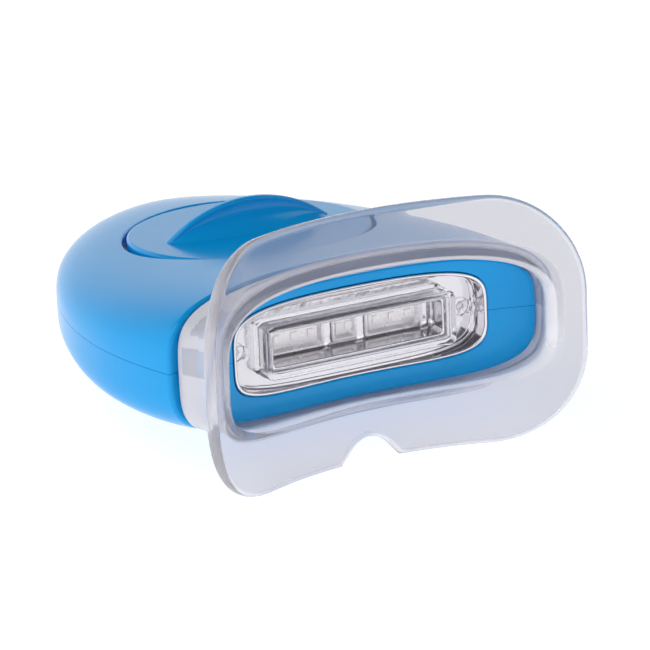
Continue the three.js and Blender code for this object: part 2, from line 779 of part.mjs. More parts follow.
function makeLensCover() {
  const flangeBack = trayFloorDepth - seatGap;
  const flangeFront = flangeBack - lensFlangeThickness;
  const flange = solidFrom(depthPrism(
    superellipse(lensFlangeHalfWidth, lensFlangeHalfHeight, pocketSquareness), flangeFront, flangeBack,
  ));
  const box = solidFrom(depthPrism(
    roundedRectangle(lensHalfWidth, lensHalfHeight, lensCornerRadius), lensFrontDepth, flangeBack,
  ));
  const hollow = solidFrom(depthPrism(
    rectangle(lensHalfWidth - lensWall, lensHalfHeight - lensWall),
    lensFrontDepth + lensWall, flangeBack + cutOverrun,
  ));
  const bossFront = flangeFront - lensBossReach;
  const bosses = [-1, 1].map((side) => lensRound(side, lensBossRadius, bossFront, flangeBack));
  const bores = [-1, 1].map((side) => lensRound(side, lensBossBore, bossFront - seatGap, flangeFront));
  return geometryOf(cutFrom(joined(flange, box, ...bosses), hollow, ...bores));
}

const lightBoardDepth = trayFloorDepth + trayFloorThickness + ductLength + seatGap;

function makeEmitter(halfWidth, halfHeight, x) {
  const back = lightBoardDepth - seatGap;
  const outline = shifted(rectangle(halfWidth, halfHeight), x, 0);
  const base = solidFrom(depthPrism(outline, back - emitterThickness / 2, back));
  const rise = emitterThickness / 2;
  const dome = new THREE.SphereGeometry(halfHeight - seatGap, smallRoundSteps, smallRoundSteps / 2);
  dome.scale((halfWidth - seatGap) / (halfHeight - seatGap), rise / (halfHeight - seatGap), 1);
  dome.translate(x, back - emitterThickness / 2, 0);
  return geometryOf(joined(base, solidFrom(dome)));
}

function makeLightBoard() {
  return depthPrism(
    roundedRectangle(lightBoardHalfWidth, lightBoardHalfHeight, lightBoardCorner, boardOutlineSteps),
    lightBoardDepth, lightBoardDepth + boardThickness,
  );
}

// Battery bay and control board

function makeCell(bottom) {
  const rim = cellRadius - cellRimStep;
  const geometry = turned([
    [0, bottom],
    [rim, bottom],
    [cellRadius, bottom + cellRimStep / 2],
    [cellRadius, bottom + cellThickness],
    [0, bottom + cellThickness],
  ], mediumRoundSteps);
  geometry.translate(0, capDepth, 0);
  return geometry;
}

function makeBatteryTray() {
  const inner = cellRadius + seatGap;
  const outer = inner + trayCupWall;
  const cup = turned([
    [0, trayFloorBottom],
    [outer, trayFloorBottom],
    [outer, trayFloorBottom + trayCupRise],
    [inner, trayFloorBottom + trayCupRise],
    [inner, trayFloorTop],
    [0, trayFloorTop],
  ], mediumRoundSteps);
  cup.translate(0, capDepth, 0);
  const slotHalf = contactWidth / 2 + seatGap;
  const slot = heightPrism(
    shifted(rectangle(cellRadius, slotHalf), -cellRadius - trayCupWall, capDepth),
    trayFloorTop - seatGap, trayFloorBottom + trayCupRise + seatGap,
  );
  return geometryOf(cutFrom(solidFrom(cup), solidFrom(slot)));
}

function makeNegativeContact() {
  const strip = heightPrism(
    shifted(rectangle(contactWidth, contactWidth / 2), 0, capDepth),
    trayContactTop - contactThickness, trayContactTop,
  );
  return strip;
}

// Upright leaf that stands in the tray's slot and reaches the side of the cells
function makePositiveContact() {
  const x = -cellRadius - seatGap - contactThickness;
  const leaf = heightPrism(
    shifted(rectangle(contactThickness / 2, contactWidth / 2), x, capDepth),
    trayFloorTop, upperCellBottom,
  );
  const footMiddle = x - (contactFootLength - contactThickness) / 2;
  const foot = heightPrism(
    shifted(rectangle(contactFootLength / 2, contactWidth / 2), footMiddle, capDepth),
    trayFloorTop, trayFloorTop + contactThickness,
  );
  return geometryOf(joined(solidFrom(leaf), solidFrom(foot)));
}

function makeControlBoard() {
  const outline = shifted(
    roundedRectangle(controlBoardHalfWidth, controlBoardHalfLength, controlBoardCorner, boardOutlineSteps),
    0, controlBoardDepth,
  );
  return heightPrism(outline, controlBoardBottom, controlBoardTop);
}

function makeTimerChip() {
  const depth = controlBoardFront + componentInset + chipSize / 2;
  const outline = shifted(rectangle(chipSize / 2, chipSize / 2), componentShift, depth);
  const bottom = controlBoardTop + seatGap;
  return heightPrism(outline, bottom, bottom + chipThickness);
}

function makeBuzzer() {
  const depth = controlBoardFront + componentInset + buzzerRadius;
  const bottom = controlBoardTop + seatGap;
  const top = bottom + buzzerHeight;
  const can = turned([
    [0, bottom],
    [buzzerRadius, bottom],
    [buzzerRadius, top],
    [buzzerPort, top],
    [buzzerPort, top - buzzerPortDepth],
    [0, top - buzzerPortDepth],
  ], smallRoundSteps);
  can.translate(-componentShift, depth, 0);
  return can;
}

function makeScrew(x, y) {
  const seat = -screwSeatHeight - seatGap;
  const head = solidFrom(column(screwHeadRadius, x, y, seat - screwHeadHeight, seat));
  const shaft = solidFrom(column(
    screwRadius, x, y, seat - screwHeadHeight / 2, seat + screwLength - seatGap,
  ));
  const slots = [0, Math.PI / 2].map((turn) => {
    const bar = new THREE.BoxGeometry(screwSlotLength, screwSlotWidth, 2 * screwSlotDepth);
    bar.rotateZ(turn);
    bar.translate(x, y, seat - screwHeadHeight);
    return solidFrom(bar);
  });
  return geometryOf(cutFrom(joined(head, shaft), ...slots));
}

function makeLead(points) {
  const path = new THREE.CatmullRomCurve3(points.map(([x, y, z]) => new THREE.Vector3(x, y, z)));
  const section = superellipse(leadRadius, leadRadius, roundSquareness, leadSides);
  return new THREE.ExtrudeGeometry(new THREE.Shape(section), {
    steps: leadSteps, bevelEnabled: false, extrudePath: path,
  });
}

// Lead from the back of the emitter board to the front edge of the control board
function makeLightLead(x) {
  const start = lightBoardDepth + boardThickness + seatGap;
  const end = controlBoardFront + componentInset;
  const height = controlBoardTop + seatGap + leadRadius;
  return makeLead([
    [x, start, 0],
    [x, start + leadRise, -leadRise / 4],
    [x, (start + end) / 2, height / 2],
    [x, end - leadRise, height + leadRadius],
    [x, end, height],
  ]);
}

// Lead on the control board from beside the battery tray round to the board's rear end
function makeBatteryLead(side) {
  const x = side * (cellRadius + trayCupWall + 2 * leadRadius + 2 * seatGap);
  const height = controlBoardTop + seatGap + leadRadius;
  const end = controlBoardRear - componentInset;
  return makeLead([
    [x, capDepth + contactWidth, height],
    ...batteryLeadShares.map(([acrossShare, behindShare]) => (
      [x * acrossShare, capDepth + cellRadius * behindShare, height + leadHump]
    )),
    [side * leadSpacing, end, height],
  ]);
}

// Assembly

const bodyFrame = new THREE.Group();

function place(name, geometry, finish) {
  const mesh = new THREE.Mesh(geometry, new THREE.MeshStandardMaterial(finish));
  mesh.name = name;
  bodyFrame.add(mesh);
  return mesh;
}

const [upperShell, lowerShell] = makeShells();
place('upper_shell', geometryOf(upperShell), blueFinish);
const lower = place('lower_shell', geometryOf(lowerShell), blueFinish);
const mouthpiece = place('mouthpiece', geometryOf(makeMouthpiece()), clearFinish);
place('turn_cap', makeTurnCap(), blueFinish);
place('cap_contact_plate', makeContactPlate(), steelFinish);
place('cap_seal_ring', makeSealRing(), blackFinish);
place('reflector_tray', makeReflectorTray(), silverFinish);
place('lens_cover', makeLensCover(), clearFinish);
place('led_board', makeLightBoard(), boardFinish);
place('led_center', makeEmitter(centerEmitterSize / 2, centerEmitterSize / 2, 0), emitterFinish);
for (const [name, side] of [['led_left', -1], ['led_right', 1]]) {
  const middle = (side * sideEmitterSpacing) / 2;
  place(name, makeEmitter(sideEmitterWidth / 2, sideEmitterHeight / 2, middle), emitterFinish);
}
place('battery_tray', makeBatteryTray(), innerPlasticFinish);
place('battery_cell_upper', makeCell(upperCellBottom), steelFinish);
place('battery_cell_lower', makeCell(lowerCellBottom), steelFinish);
place('positive_contact', makePositiveContact(), steelFinish);
place('negative_contact', makeNegativeContact(), steelFinish);
place('control_board', makeControlBoard(), boardFinish);
place('timer_chip', makeTimerChip(), blackFinish);
place('buzzer', makeBuzzer(), blackFinish);
screwPlaces.forEach(([x, y], index) => {
  place(`shell_screw_${index + 1}`, makeScrew(x, y), steelFinish);
});
place('led_wire_red', makeLightLead(leadSpacing / 2), redLeadFinish);
place('led_wire_black', makeLightLead(-leadSpacing / 2), blackFinish);
place('battery_wire_red', makeBatteryLead(1), redLeadFinish);
place('battery_wire_black', makeBatteryLead(-1), blackFinish);

// Height of a mesh's lowest point once the body frame leans back by an angle
function lowestPoint(mesh, lean) {
  const places = mesh.geometry.attributes.position;
  let lowest = Infinity;
  for (let i = 0; i < places.count; i += 1) {
    lowest = Math.min(lowest, places.getZ(i) * Math.cos(lean) - places.getY(i) * Math.sin(lean));
  }
  return lowest;
}

// The lean at which the mouthpiece and the lower shell stand on one table, by halving
function restingLean() {
  let small = 0;
  let large = Math.PI / 4;
  while (large - small > leanTolerance) {
    const middle = (small + large) / 2;
    if (lowestPoint(mouthpiece, middle) < lowestPoint(lower, middle)) small = middle;
    else large = middle;
  }
  return (small + large) / 2;
}

bodyFrame.rotation.x = -restingLean();
bodyFrame.updateMatrixWorld(true);
const standing = new THREE.Box3().setFromObject(bodyFrame, true);
bodyFrame.position.set(0, -(standing.min.y + standing.max.y) / 2, -standing.min.z);

const whiteningLight = new THREE.Group();
whiteningLight.add(bodyFrame);

export default whiteningLight;
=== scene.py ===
import json
import math

import bpy
import numpy as np
from bpy.props import FloatProperty, FloatVectorProperty, PointerProperty
from bpy.types import Operator, Panel, PropertyGroup
from mathutils import Matrix, Vector


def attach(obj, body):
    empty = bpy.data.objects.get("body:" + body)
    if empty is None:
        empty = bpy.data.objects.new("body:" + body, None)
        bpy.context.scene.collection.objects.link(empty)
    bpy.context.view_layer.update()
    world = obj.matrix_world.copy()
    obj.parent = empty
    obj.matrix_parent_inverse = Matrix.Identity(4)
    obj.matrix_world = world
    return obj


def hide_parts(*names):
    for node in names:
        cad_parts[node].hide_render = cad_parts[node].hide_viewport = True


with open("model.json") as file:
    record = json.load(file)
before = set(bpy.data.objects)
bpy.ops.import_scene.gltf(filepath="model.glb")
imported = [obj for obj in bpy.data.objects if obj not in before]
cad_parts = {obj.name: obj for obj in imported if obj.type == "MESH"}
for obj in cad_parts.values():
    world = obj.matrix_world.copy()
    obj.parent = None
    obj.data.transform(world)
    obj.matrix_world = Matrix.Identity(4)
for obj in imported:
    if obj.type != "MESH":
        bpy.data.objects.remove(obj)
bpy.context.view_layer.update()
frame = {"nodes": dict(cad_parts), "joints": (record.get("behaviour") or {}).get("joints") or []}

bl_info = {
    "name": "Teeth whitening light",
    "version": (1, 0, 0),
    "blender": (4, 5, 0),
    "location": "3D View > Sidebar > Whitening light",
    "description": "Dresses the packed frame of a hand-held teeth whitening light",
    "category": "Object",
}

MILLIMETRE = 0.001
# Play between two seated pieces, and how far a cut runs on past the face that it opens
SEAT_GAP = 0.3 * MILLIMETRE
OVERRUN = 8 * MILLIMETRE
# Points round the cap's disc and round its well
DISC_POINTS = 200
# Rectangles of painted shade where the snap ribs show through the neck's wall: depth and height of each one's
# middle, and half of its size in depth and height, in millimetres
RIB_SHADE_PATCHES = ((-3.2, 8.2, 1.9, 1.9), (-2.7, 2.3, 2.1, 2.2))


# Sizes and finishes that a user would change

def length(description, millimetres):
    """A length that is given in millimetres and kept in metres."""
    size = millimetres * MILLIMETRE
    return FloatProperty(description=description, default=size, unit="LENGTH", precision=5)


def number(description, default, low=0.0, high=100.0):
    """A plain number between two limits."""
    return FloatProperty(description=description, default=default, min=low, max=high)


def fraction(description, default):
    """A number between 0 and 1."""
    return number(description, default, 0.0, 1.0)


def angle(description, degrees):
    """An angle that is given in degrees and kept in radians."""
    turn = math.radians(degrees)
    return FloatProperty(description=description, default=turn, subtype="ANGLE", precision=4)


def colour(description, *default):
    """A linear colour without alpha."""
    limits = {"min": 0.0, "max": 1.0}
    return FloatVectorProperty(description=description, default=default, subtype="COLOR", size=3, **limits)


class BodySizes(PropertyGroup):
    """The egg-shaped body and the collar that carries the mouthpiece"""

    half_width: length("Half of the body's greatest width", 36.2)
    widest_depth: length("How far back the body is widest", 21.0)
    rear_length: length("From the widest place to the rear end", 55.0)
    rear_squareness: number("Superellipse power of the rear plan", 1.79)
    front_length: length("Length over which the front plan narrows", 36.8)
    front_squareness: number("Superellipse power of the front plan", 1.92)
    shoulder_depth: length("Shoulder's middle behind the flange's apex", 7.1)
    shoulder_radius: length("Radius that hollows shoulder and face", 83.6)
    shoulder_fade: number("Share of the length over which the hollow dies out", 0.33)
    shoulder_fillet: length("Rounding of the shoulder's edge", 0.5)
    crown_front: length("Crown height at the shoulder", 11.3)
    crown_dip: length("How far the crown sinks midway", 1.64)
    crown_fall: length("How far the crown falls to the rear", 1.5)
    crown_squareness: number("Superellipse power of the crown", 2.94)
    belly_front: length("Belly height at the shoulder", 13.1)
    belly_dip: length("How far the belly rises midway", 2.1)
    belly_fall: length("How far the belly rises to the rear", 5.4)
    belly_squareness: number("Superellipse power of the belly", 6.2)
    crown_shoulder_squareness: number("Power of the crown at the shoulder", 3.6)
    belly_shoulder_squareness: number("Power of the belly at the shoulder", 3.25)
    wall: length("Thickness of the shells", 1.8)
    seam: length("Visible gap between the shells", 0.07)
    collar_reach: length("How far the collar stands forward", 3.7)
    collar_half_width: length("Half width of the collar", 30.0)
    collar_half_height: length("Half height of the collar's upper half", 9.1)
    collar_drop: length("How much further collar and neck reach down than up", 1.7)
    collar_squareness: number("Superellipse power of the collar", 4.0)
    collar_round: length("Rounding of the collar's edge", 0.5)
    inner_round: length("Rounding of the hollow's shoulder", 0.2)
    pad_depth: length("Middle of the flat pad below", 36.0)
    pad_half_width: length("Half width of the pad", 13.0)
    pad_half_length: length("Half length of the pad", 10.0)
    pad_height: length("How far the pad lies below the axis", 7.9)
    pillar_radius: length("Radius of the screw pillars", 3.0)
    screw_hole: length("Radius of the screw holes", 1.3)
    screw_tip: length("How far above the seam the screw holes end", 4.2)
    head_hole: length("Radius of the holes for the screw heads", 2.2)
    head_seat: length("How far below the seam the screw heads sit", 4.6)
    front_screw_depth: length("Depth of the front screws", 17.5)
    front_screw_inset: length("From the body's side to a front screw", 9.2)
    rear_screw_depth: length("Depth of the rear screws", 57.5)
    rear_screw_inset: length("From the body's side to a rear screw", 8.5)


class CapSizes(PropertyGroup):
    """The turn cap, its finger fin and its well"""

    depth: length("The cap's axis behind the flange's apex", 37.9)
    lean: angle("How far the cap's axis leans back", 2.0)
    top_height: length("Height of the cap's top face", 8.6)
    radius: length("Radius of the disc", 19.8)
    thickness: length("Thickness of the disc", 2.4)
    edge_round: length("Rounding of the disc's top edge", 0.6)
    clearance: length("Gap round the disc", 0.7)
    well_fillet: length("Rounding of the well's rim", 0.45)
    well_wall: length("Thickness of the wall round the well", 1.6)
    well_floor: length("Thickness of the well's floor", 2.0)
    fin_half_length: length("Half length of the finger fin", 14.7)
    fin_height: length("Height of the fin over the disc", 5.3)
    fin_root: length("Width of the fin where it meets the disc", 7.4)
    fin_ridge: length("Width of the fin's ridge", 1.5)
    fin_flare: number("Power with which its faces spread", 2.4)
    fin_round: length("Rounding of the fin's ridge", 0.45)
    skirt_radius: length("Outer radius of the skirt below", 13.4)
    skirt_length: length("How far the skirt reaches down", 3.6)
    skirt_wall: length("Thickness of the skirt", 1.4)
    lug_reach: length("How far the lugs stand out from the skirt", 1.5)
    lug_drop: length("From the disc down to the lugs", 2.6)
    lug_height: length("Height of the lugs", 1.0)
    lug_half_angle: angle("Half of the angle that a lug spans", 12.0)


class MouthpieceSizes(PropertyGroup):
    """The clear mouthpiece: a lip flange bent round the teeth, and its neck"""

    half_chord: length("Half of the flange's chord", 33.0)
    half_height: length("Half of the flange's height", 20.2)
    corner: length("Rounding of the flange's corners", 15.8)
    bend: length("Radius round which the flange is bent", 50.8)
    thickness: length("Thickness of the flange", 2.0)
    notch_half_width: length("Half width of the lip notch", 5.3)
    notch_depth: length("Depth of the lip notch", 3.9)
    notch_crown: number("The higher, the flatter the notch's crown", 2.2)
    notch_foot: number("The higher, the wider the notch's feet flare", 1.3)
    neck_half_width: length("Half width of the neck", 31.8)
    neck_half_height: length("Half height of the neck's upper half", 10.9)
    neck_wall: length("Thickness of the neck's wall", 1.5)
    window_half_width: length("Half width of the window", 28.0)
    window_half_height: length("Half height of the window", 10.5)
    window_fillet: length("Rounding of the window's edge", 0.9)
    root_fillet: length("Rounding where the neck meets the flange", 1.2)
    rim_round: length("Rounding of the neck's rear rim", 0.45)
    milk_flat: fraction("Share of light that the flange scatters", 0.1)
    milk_rim: fraction("Share of light that the flange's rim scatters", 0.33)
    milk_edge: fraction("Share of light that the window's edge scatters", 0.62)
    milk_neck: fraction("Share of light that the neck scatters", 0.6)
    # Painted shade: the neck's wall scatters less by this share on the snap ribs' rectangles, so that they
    # show darker
    painted_rib_shade: fraction("How much less light the snap ribs scatter", 0.22)
    milk_fade: length("Height over which the milk of the window's edge fades", 2.0)
    # The painted shade of the snap ribs only starts this far out at the sides
    rib_shade_start: length("How far out at the sides the snap ribs start", 26.0)
    clearing: fraction("Share by which the milk fades along the window's lower edge", 0.75)


class LampSizes(PropertyGroup):
    """The light unit: reflector tray, lens cover and emitters"""

    pocket_half_width: length("Half width of the pocket in the face", 22.5)
    pocket_half_height: length("Half height of the pocket", 7.4)
    squareness: number("Superellipse power of the pocket", 4.6)
    pocket_fillet: length("Rounding of the pocket's edge", 0.3)
    pocket_depth: length("Depth of the pocket's rear end", 9.0)
    lip: length("How far the tray stands proud of the face", 0.2)
    pocket_gap: length("Visible gap round the tray and the emitters", 0.1)
    tray_wall: length("Thickness of the tray's wall", 0.5)
    tray_floor: length("Thickness of the tray's floor", 1.0)
    tray_round: length("Rounding of the tray's rim", 0.25)
    floor_round: length("Rounding between the tray's floor and wall", 0.3)
    floor_knee: length("How far the knee in that rounding is drawn in", 0.09)
    floor_depth: length("Depth of the tray's floor", 4.0)
    duct_front: length("Depth of the duct's front edge, inside the lens box", 2.1)
    duct_back: length("Depth of the duct's rear end", 7.8)
    duct_wall: length("Thickness of the duct's wall", 0.4)
    duct_floor: length("Thickness of the duct's floor", 0.8)
    duct_corner: length("Rounding of the duct's corners", 0.5)
    trough_corner: length("Rounding of the trough's corners", 0.8)
    trough_round: length("Rounding between the trough's floor and wall", 0.7)
    trough_knee: length("How far the knee in that rounding is drawn in", 0.2)
    window_corner: length("Corner radius of a window in the duct's floor", 0.3)
    window_reach: length("How far a window's cut reaches into the duct", 0.5)
    lens_half_width: length("Half width of the lens box", 16.7)
    lens_half_height: length("Half height of the lens box", 4.4)
    lens_corner: length("Rounding of the lens box's corners", 1.1)
    lens_edge: length("Rounding of the lens box's front edge", 0.7)
    lens_front: length("Depth of the lens box's front", -0.2)
    lens_wall: length("Thickness of the lens box's walls", 0.9)
    lens_flange: length("Thickness of the lens cover's flange", 0.7)
    lens_rim: length("Rounding of the flange's edge", 0.2)
    lens_foot: length("Rounding where the lens box meets the flange", 0.4)
    hollow_round: length("Rounding inside the lens box", 0.35)
    hollow_corner: length("Rounding of the hollow's corners", 0.4)
    boss_radius: length("Radius of the lens cover's bosses", 1.5)
    boss_bore: length("Radius of the bosses' bores", 0.6)
    boss_reach: length("How far the bosses stand forward", 0.5)
    boss_round: length("Rounding of a boss's edge", 0.25)
    boss_knee: length("How far the knee in that rounding is drawn in", 0.07)
    bore_flare: length("Flare of a bore's mouth", 0.2)
    boss_inset: length("From the flange's end to a boss's axis", 1.6)
    center_size: length("Side of the square emitter in the middle", 4.4)
    side_width: length("Width of the emitters at the sides", 10.0)
    side_height: length("Height of the emitters at the sides", 5.0)
    side_spacing: length("Between the middles of the side emitters", 17.4)
    package_height: length("Height of an emitter's package", 1.3)
    package_corner: length("Rounding of a package's corners", 0.25)
    package_edge: length("Bevel of a package's front edge", 0.12)
    well_edge: length("Width of the package's edge round its well", 0.4)
    well_depth: length("Depth of a package's well", 0.5)
    well_corner: length("Rounding of a well's corners", 0.6)
    die_half: length("Half of a die's side", 0.6)
    die_height: length("How far a die stands over the well's floor", 0.25)


class Finishes(PropertyGroup):
    """Colours and gloss of the mouldings"""

    blue: colour("Colour of the shells and the cap", 0.002, 0.36, 0.83)
    blue_roughness: fraction("Roughness of the blue mouldings", 0.17)
    clear: colour("Tint of the clear mouldings", 0.66, 0.66, 0.72)
    clear_index: number("Refractive index of the clear mouldings", 1.28, 1.0, 2.0)
    pale: colour("Tint of the clear mouldings at rounded edges", 0.98, 0.97, 1.0)
    tinted_milk: fraction("Largest share of milk at which the tint is full", 0.12)
    milk: colour("Colour of the light that the clear mouldings scatter", 0.95, 0.94, 1.0)
    silver: colour("Colour of the plated tray", 0.86, 0.84, 0.88)
    silver_roughness: fraction("Roughness of the plating", 0.09)
    lens: colour("Tint of the lens cover", 0.98, 0.98, 0.99)
    lens_milk: fraction("Share of light that the lens cover scatters", 0.03)
    resin: colour("Colour of the emitters", 0.98, 0.95, 0.97)


class StudioSettings(PropertyGroup):
    """Camera, lights and floor"""

    azimuth: angle("Camera's azimuth in the body's own frame", -28.06)
    elevation: angle("Camera's elevation in the body's own frame", 17.53)
    roll: angle("Camera's roll", -2.42)
    distance: length("From the camera to its target", 545.1)
    target_across: length("Target's place across the view", -5.96)
    target_up: length("Target's place up the view", 2.10)
    focal: number("Focal length in widths of the picture", 3538.42 / 650, 0.1, 50.0)
    floor: colour("Colour of the floor", 0.36, 0.36, 0.36)
    glow: number("Strength of the light that the floor sends out", 0.86, 0.0, 10.0)
    world: number("Strength of the room's light", 0.06, 0.0, 10.0)


# Frames: the pieces are worked out in the body's own frame, whose origin is the flange's apex

def row_matrix(cap):
    """The body's own frame in the row frame. The mouthpiece slides along the body's -Y, which gives
    the lean, and the cap's joint lies on its axis, which gives the place."""
    joints = {joint["name"]: joint for joint in frame["joints"]}
    slide = joints["mouthpiece_pull"]["axis"]
    lean = math.atan2(slide[2], -slide[1])
    turn = Matrix.Rotation(-lean, 4, "X")
    pivot = Vector(joints["cap_turn"]["pos_m"])
    return Matrix.Translation(pivot - turn @ Vector((0, cap.depth, cap.top_height))) @ turn


def cap_matrix(cap):
    """The cap's frame, with its zero at the middle of the cap's top face, in the body's own frame."""
    return Matrix.Translation((0, cap.depth, cap.top_height)) @ Matrix.Rotation(-cap.lean, 4, "X")


# Surfaces on grids

def turns(count):
    """Angles half a step off the axes, so that each point of a ring has its mirror image below."""
    return 2 * np.pi * (np.arange(count) + 0.5) / count


def super_ring(half_width, half_height, squareness, angles):
    """Superellipse by direction: cosine and sine, each over the norm of both with the squareness as
    its power, times the half sizes."""
    across, upward = np.cos(angles), np.sin(angles)
    norm = (np.abs(across) ** squareness + np.abs(upward) ** squareness) ** (1 / squareness)
    return half_width * across / norm, half_height * upward / norm


def rounded_reach(half_width, half_height, corner, angles):
    """Distance from the middle of a rectangle with rounded corners to its edge, in a direction."""
    across, upward = np.abs(np.cos(angles)), np.abs(np.sin(angles))
    wide, high = half_width - corner, half_height - corner
    along = wide * across + high * upward
    arc = along + np.sqrt(np.maximum(0, along ** 2 - (wide ** 2 + high ** 2 - corner ** 2)))
    side = half_width / np.maximum(across, 1e-9)
    top = half_height / np.maximum(upward, 1e-9)
    on_top = across * half_height <= upward * wide
    on_side = upward * half_width <= across * high
    return np.where(on_side, side, np.where(on_top, top, arc))


def grid_faces(rows, columns, looped=False):
    """Quads between neighbouring rings of a grid: a point, the next one round, and both on the next ring."""
    row, column = np.meshgrid(np.arange(rows if looped else rows - 1), np.arange(columns), indexing="ij")
    near, far, after = row * columns, (row + 1) % rows * columns, (column + 1) % columns
    return np.stack([near + column, near + after, far + after, far + column], -1).reshape(-1, 4)


def strip_faces(first, columns):
    """Quads across one ring, from each of its upper points to the mirror image below."""
    step = np.arange(columns // 2 - 1)
    quads = [first + step, first + columns - 1 - step, first + columns - 2 - step, first + step + 1]
    return np.stack(quads, -1)


def fan_faces(first, columns, pole):
    """Triangles from one ring to a pole."""
    step = np.arange(columns)
    return np.stack([first + step, first + (step + 1) % columns, np.full(columns, pole)], -1)


def solid(points, *face_blocks):
    """A closed mesh object whose faces point outwards: all are turned round if the volume, summed over
    corner triples, comes out negative."""
    triples = np.concatenate([
        np.stack([block[:, 0], block[:, k], block[:, k + 1]], -1)
        for block in face_blocks for k in range(1, block.shape[1] - 1)
    ])
    a, b, c = (points[triples[:, k]] for k in range(3))
    if np.einsum("ij,ij->", a, np.cross(b, c)) < 0:
        face_blocks = [block[:, ::-1] for block in face_blocks]
    mesh = bpy.data.meshes.new("form")
    mesh.from_pydata(points.tolist(), [], [face for block in face_blocks for face in block.tolist()])
    mesh.update()
    piece = bpy.data.objects.new("form", mesh)
    bpy.context.scene.collection.objects.link(piece)
    return piece


def mirrored_loft(grid):
    """Solid through rings that mirror themselves, each end closed by strips."""
    rows, columns = grid.shape[:2]
    ends = [strip_faces(0, columns), strip_faces((rows - 1) * columns, columns)[:, ::-1]]
    return solid(grid.reshape(-1, 3), grid_faces(rows, columns), *ends)


def domed_loft(grid):
    """Solid through rings, each end closed by a fan to its middle."""
    rows, columns = grid.shape[:2]
    points = np.concatenate([grid.reshape(-1, 3), grid[:1].mean(1), grid[-1:].mean(1)])
    start = fan_faces(0, columns, rows * columns)[:, ::-1]
    end = fan_faces((rows - 1) * columns, columns, rows * columns + 1)
    return solid(points, grid_faces(rows, columns), start, end)


def looped_loft(grid):
    """Solid through rings whose last one meets the first again."""
    rows, columns = grid.shape[:2]
    return solid(grid.reshape(-1, 3), grid_faces(rows, columns, looped=True))


def turned_grid(profile, steps):
    """Grid of a turned surface: each radius times cosine and sine, at its height."""
    angles = turns(steps)
    radius, height = np.asarray(profile, float).T[:, :, None]
    return np.stack([radius * np.cos(angles), radius * np.sin(angles), height + 0 * angles], -1)


def box_solid(low, high):
    """Box between two corners."""
    low, high = np.asarray(low, float), np.asarray(high, float)
    corners = np.array([[0, 0], [1, 0], [1, 1], [0, 1]], float)
    ring = low[:2] + corners * (high - low)[:2]
    rows = [np.column_stack([ring, np.full(4, height)]) for height in (low[2], high[2])]
    return solid(np.concatenate(rows), grid_faces(2, 4), np.array([[3, 2, 1, 0], [4, 5, 6, 7]]))


def placed(piece, matrix):
    """Moves a form's mesh."""
    piece.data.transform(matrix)
    return piece


def applied(piece):
    """Turns a form's modifiers into its mesh."""
    old = piece.data
    evaluated = piece.evaluated_get(bpy.context.evaluated_depsgraph_get())
    result = bpy.data.meshes.new_from_object(evaluated)
    piece.modifiers.clear()
    piece.data = result
    bpy.data.meshes.remove(old)
    return piece


def combined(piece, operation, *tools):
    """Joins, cuts or intersects a closed form with others, which are used up."""
    for tool in tools:
        modifier = piece.modifiers.new("combine", "BOOLEAN")
        modifier.operation = operation
        modifier.solver = "MANIFOLD"
        modifier.object = tool
    faces_before = len(piece.data.polygons)
    if len(applied(piece).data.polygons) in (0, faces_before):
        raise RuntimeError(f"{operation} changed nothing on {piece.name}")
    for tool in tools:
        discard(tool)
    return piece


def copied(piece):
    """A second form with the same mesh."""
    twin = bpy.data.objects.new("form", piece.data.copy())
    bpy.context.scene.collection.objects.link(twin)
    return twin


def discard(piece):
    """Removes a form that is used up."""
    mesh = piece.data
    bpy.data.objects.remove(piece)
    bpy.data.meshes.remove(mesh)


def weigh_normals(piece):
    """Lets large faces set the smooth normals, so that a flat face beside a fillet is shaded flat."""
    piece.modifiers.new("weigh", "WEIGHTED_NORMAL").keep_sharp = True
    applied(piece).data.name = piece.name


def finished(piece, name, body, slot, material, *nodes, sharp=32):
    """Names a piece, shades it smooth between its edges, paints it and ties it to the frame."""
    piece.name = piece.data.name = name
    piece.data.transform(row_matrix(bpy.context.scene.whitening_cap))
    piece.data.materials.clear()
    piece.data.materials.append(material)
    piece.data.shade_smooth()
    piece.data.set_sharp_from_angle(angle=math.radians(sharp))
    weigh_normals(piece)
    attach(piece, body)
    if nodes:
        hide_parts(*nodes)
    return piece


# Body formulas

def hollow_reach(body, x):
    """How far forward of its middle the hollowed face lies: the parabola of its radius."""
    return x ** 2 / (2 * body.shoulder_radius)


def body_width(body, depth, inset=0.0):
    """Half width in plan: one superellipse ahead of the widest depth and another behind it."""
    offset = depth - body.widest_depth
    reach = np.where(offset < 0, body.front_length, body.rear_length - inset)
    power = np.where(offset < 0, body.front_squareness, body.rear_squareness)
    fullness = np.maximum(0, 1 - np.abs(offset / reach) ** power)
    return (body.half_width - inset) * fullness ** (1 / power)


def section_height(body, across, depth, along, inset, upper):
    """Crown or belly height: a superellipse over the share of the way to the plan's edge, whose power
    runs from the shoulder's to the settled one, times a full height that dips and falls."""
    front = np.where(upper, body.crown_front, body.belly_front)
    dip = np.where(upper, body.crown_dip, body.belly_dip)
    fall = np.where(upper, body.crown_fall, body.belly_fall)
    full = front - dip * 4 * along * (1 - along) - fall * along - inset
    rear = np.maximum(0, depth - body.widest_depth) / (body.rear_length - inset)
    plan = np.abs(across) * body_width(body, depth, inset) / (body.half_width - inset)
    power = body.rear_squareness
    edge = np.where(rear > 0, (plan ** power + rear ** power) ** (1 / power), np.abs(across))
    blend = np.maximum(0, 1 - along / body.shoulder_fade) ** 2
    settled = np.where(upper, body.crown_squareness, body.belly_squareness)
    shoulder = np.where(upper, body.crown_shoulder_squareness, body.belly_shoulder_squareness)
    squareness = settled + (shoulder - settled) * blend
    return full * np.maximum(0, 1 - edge ** squareness) ** (1 / squareness)


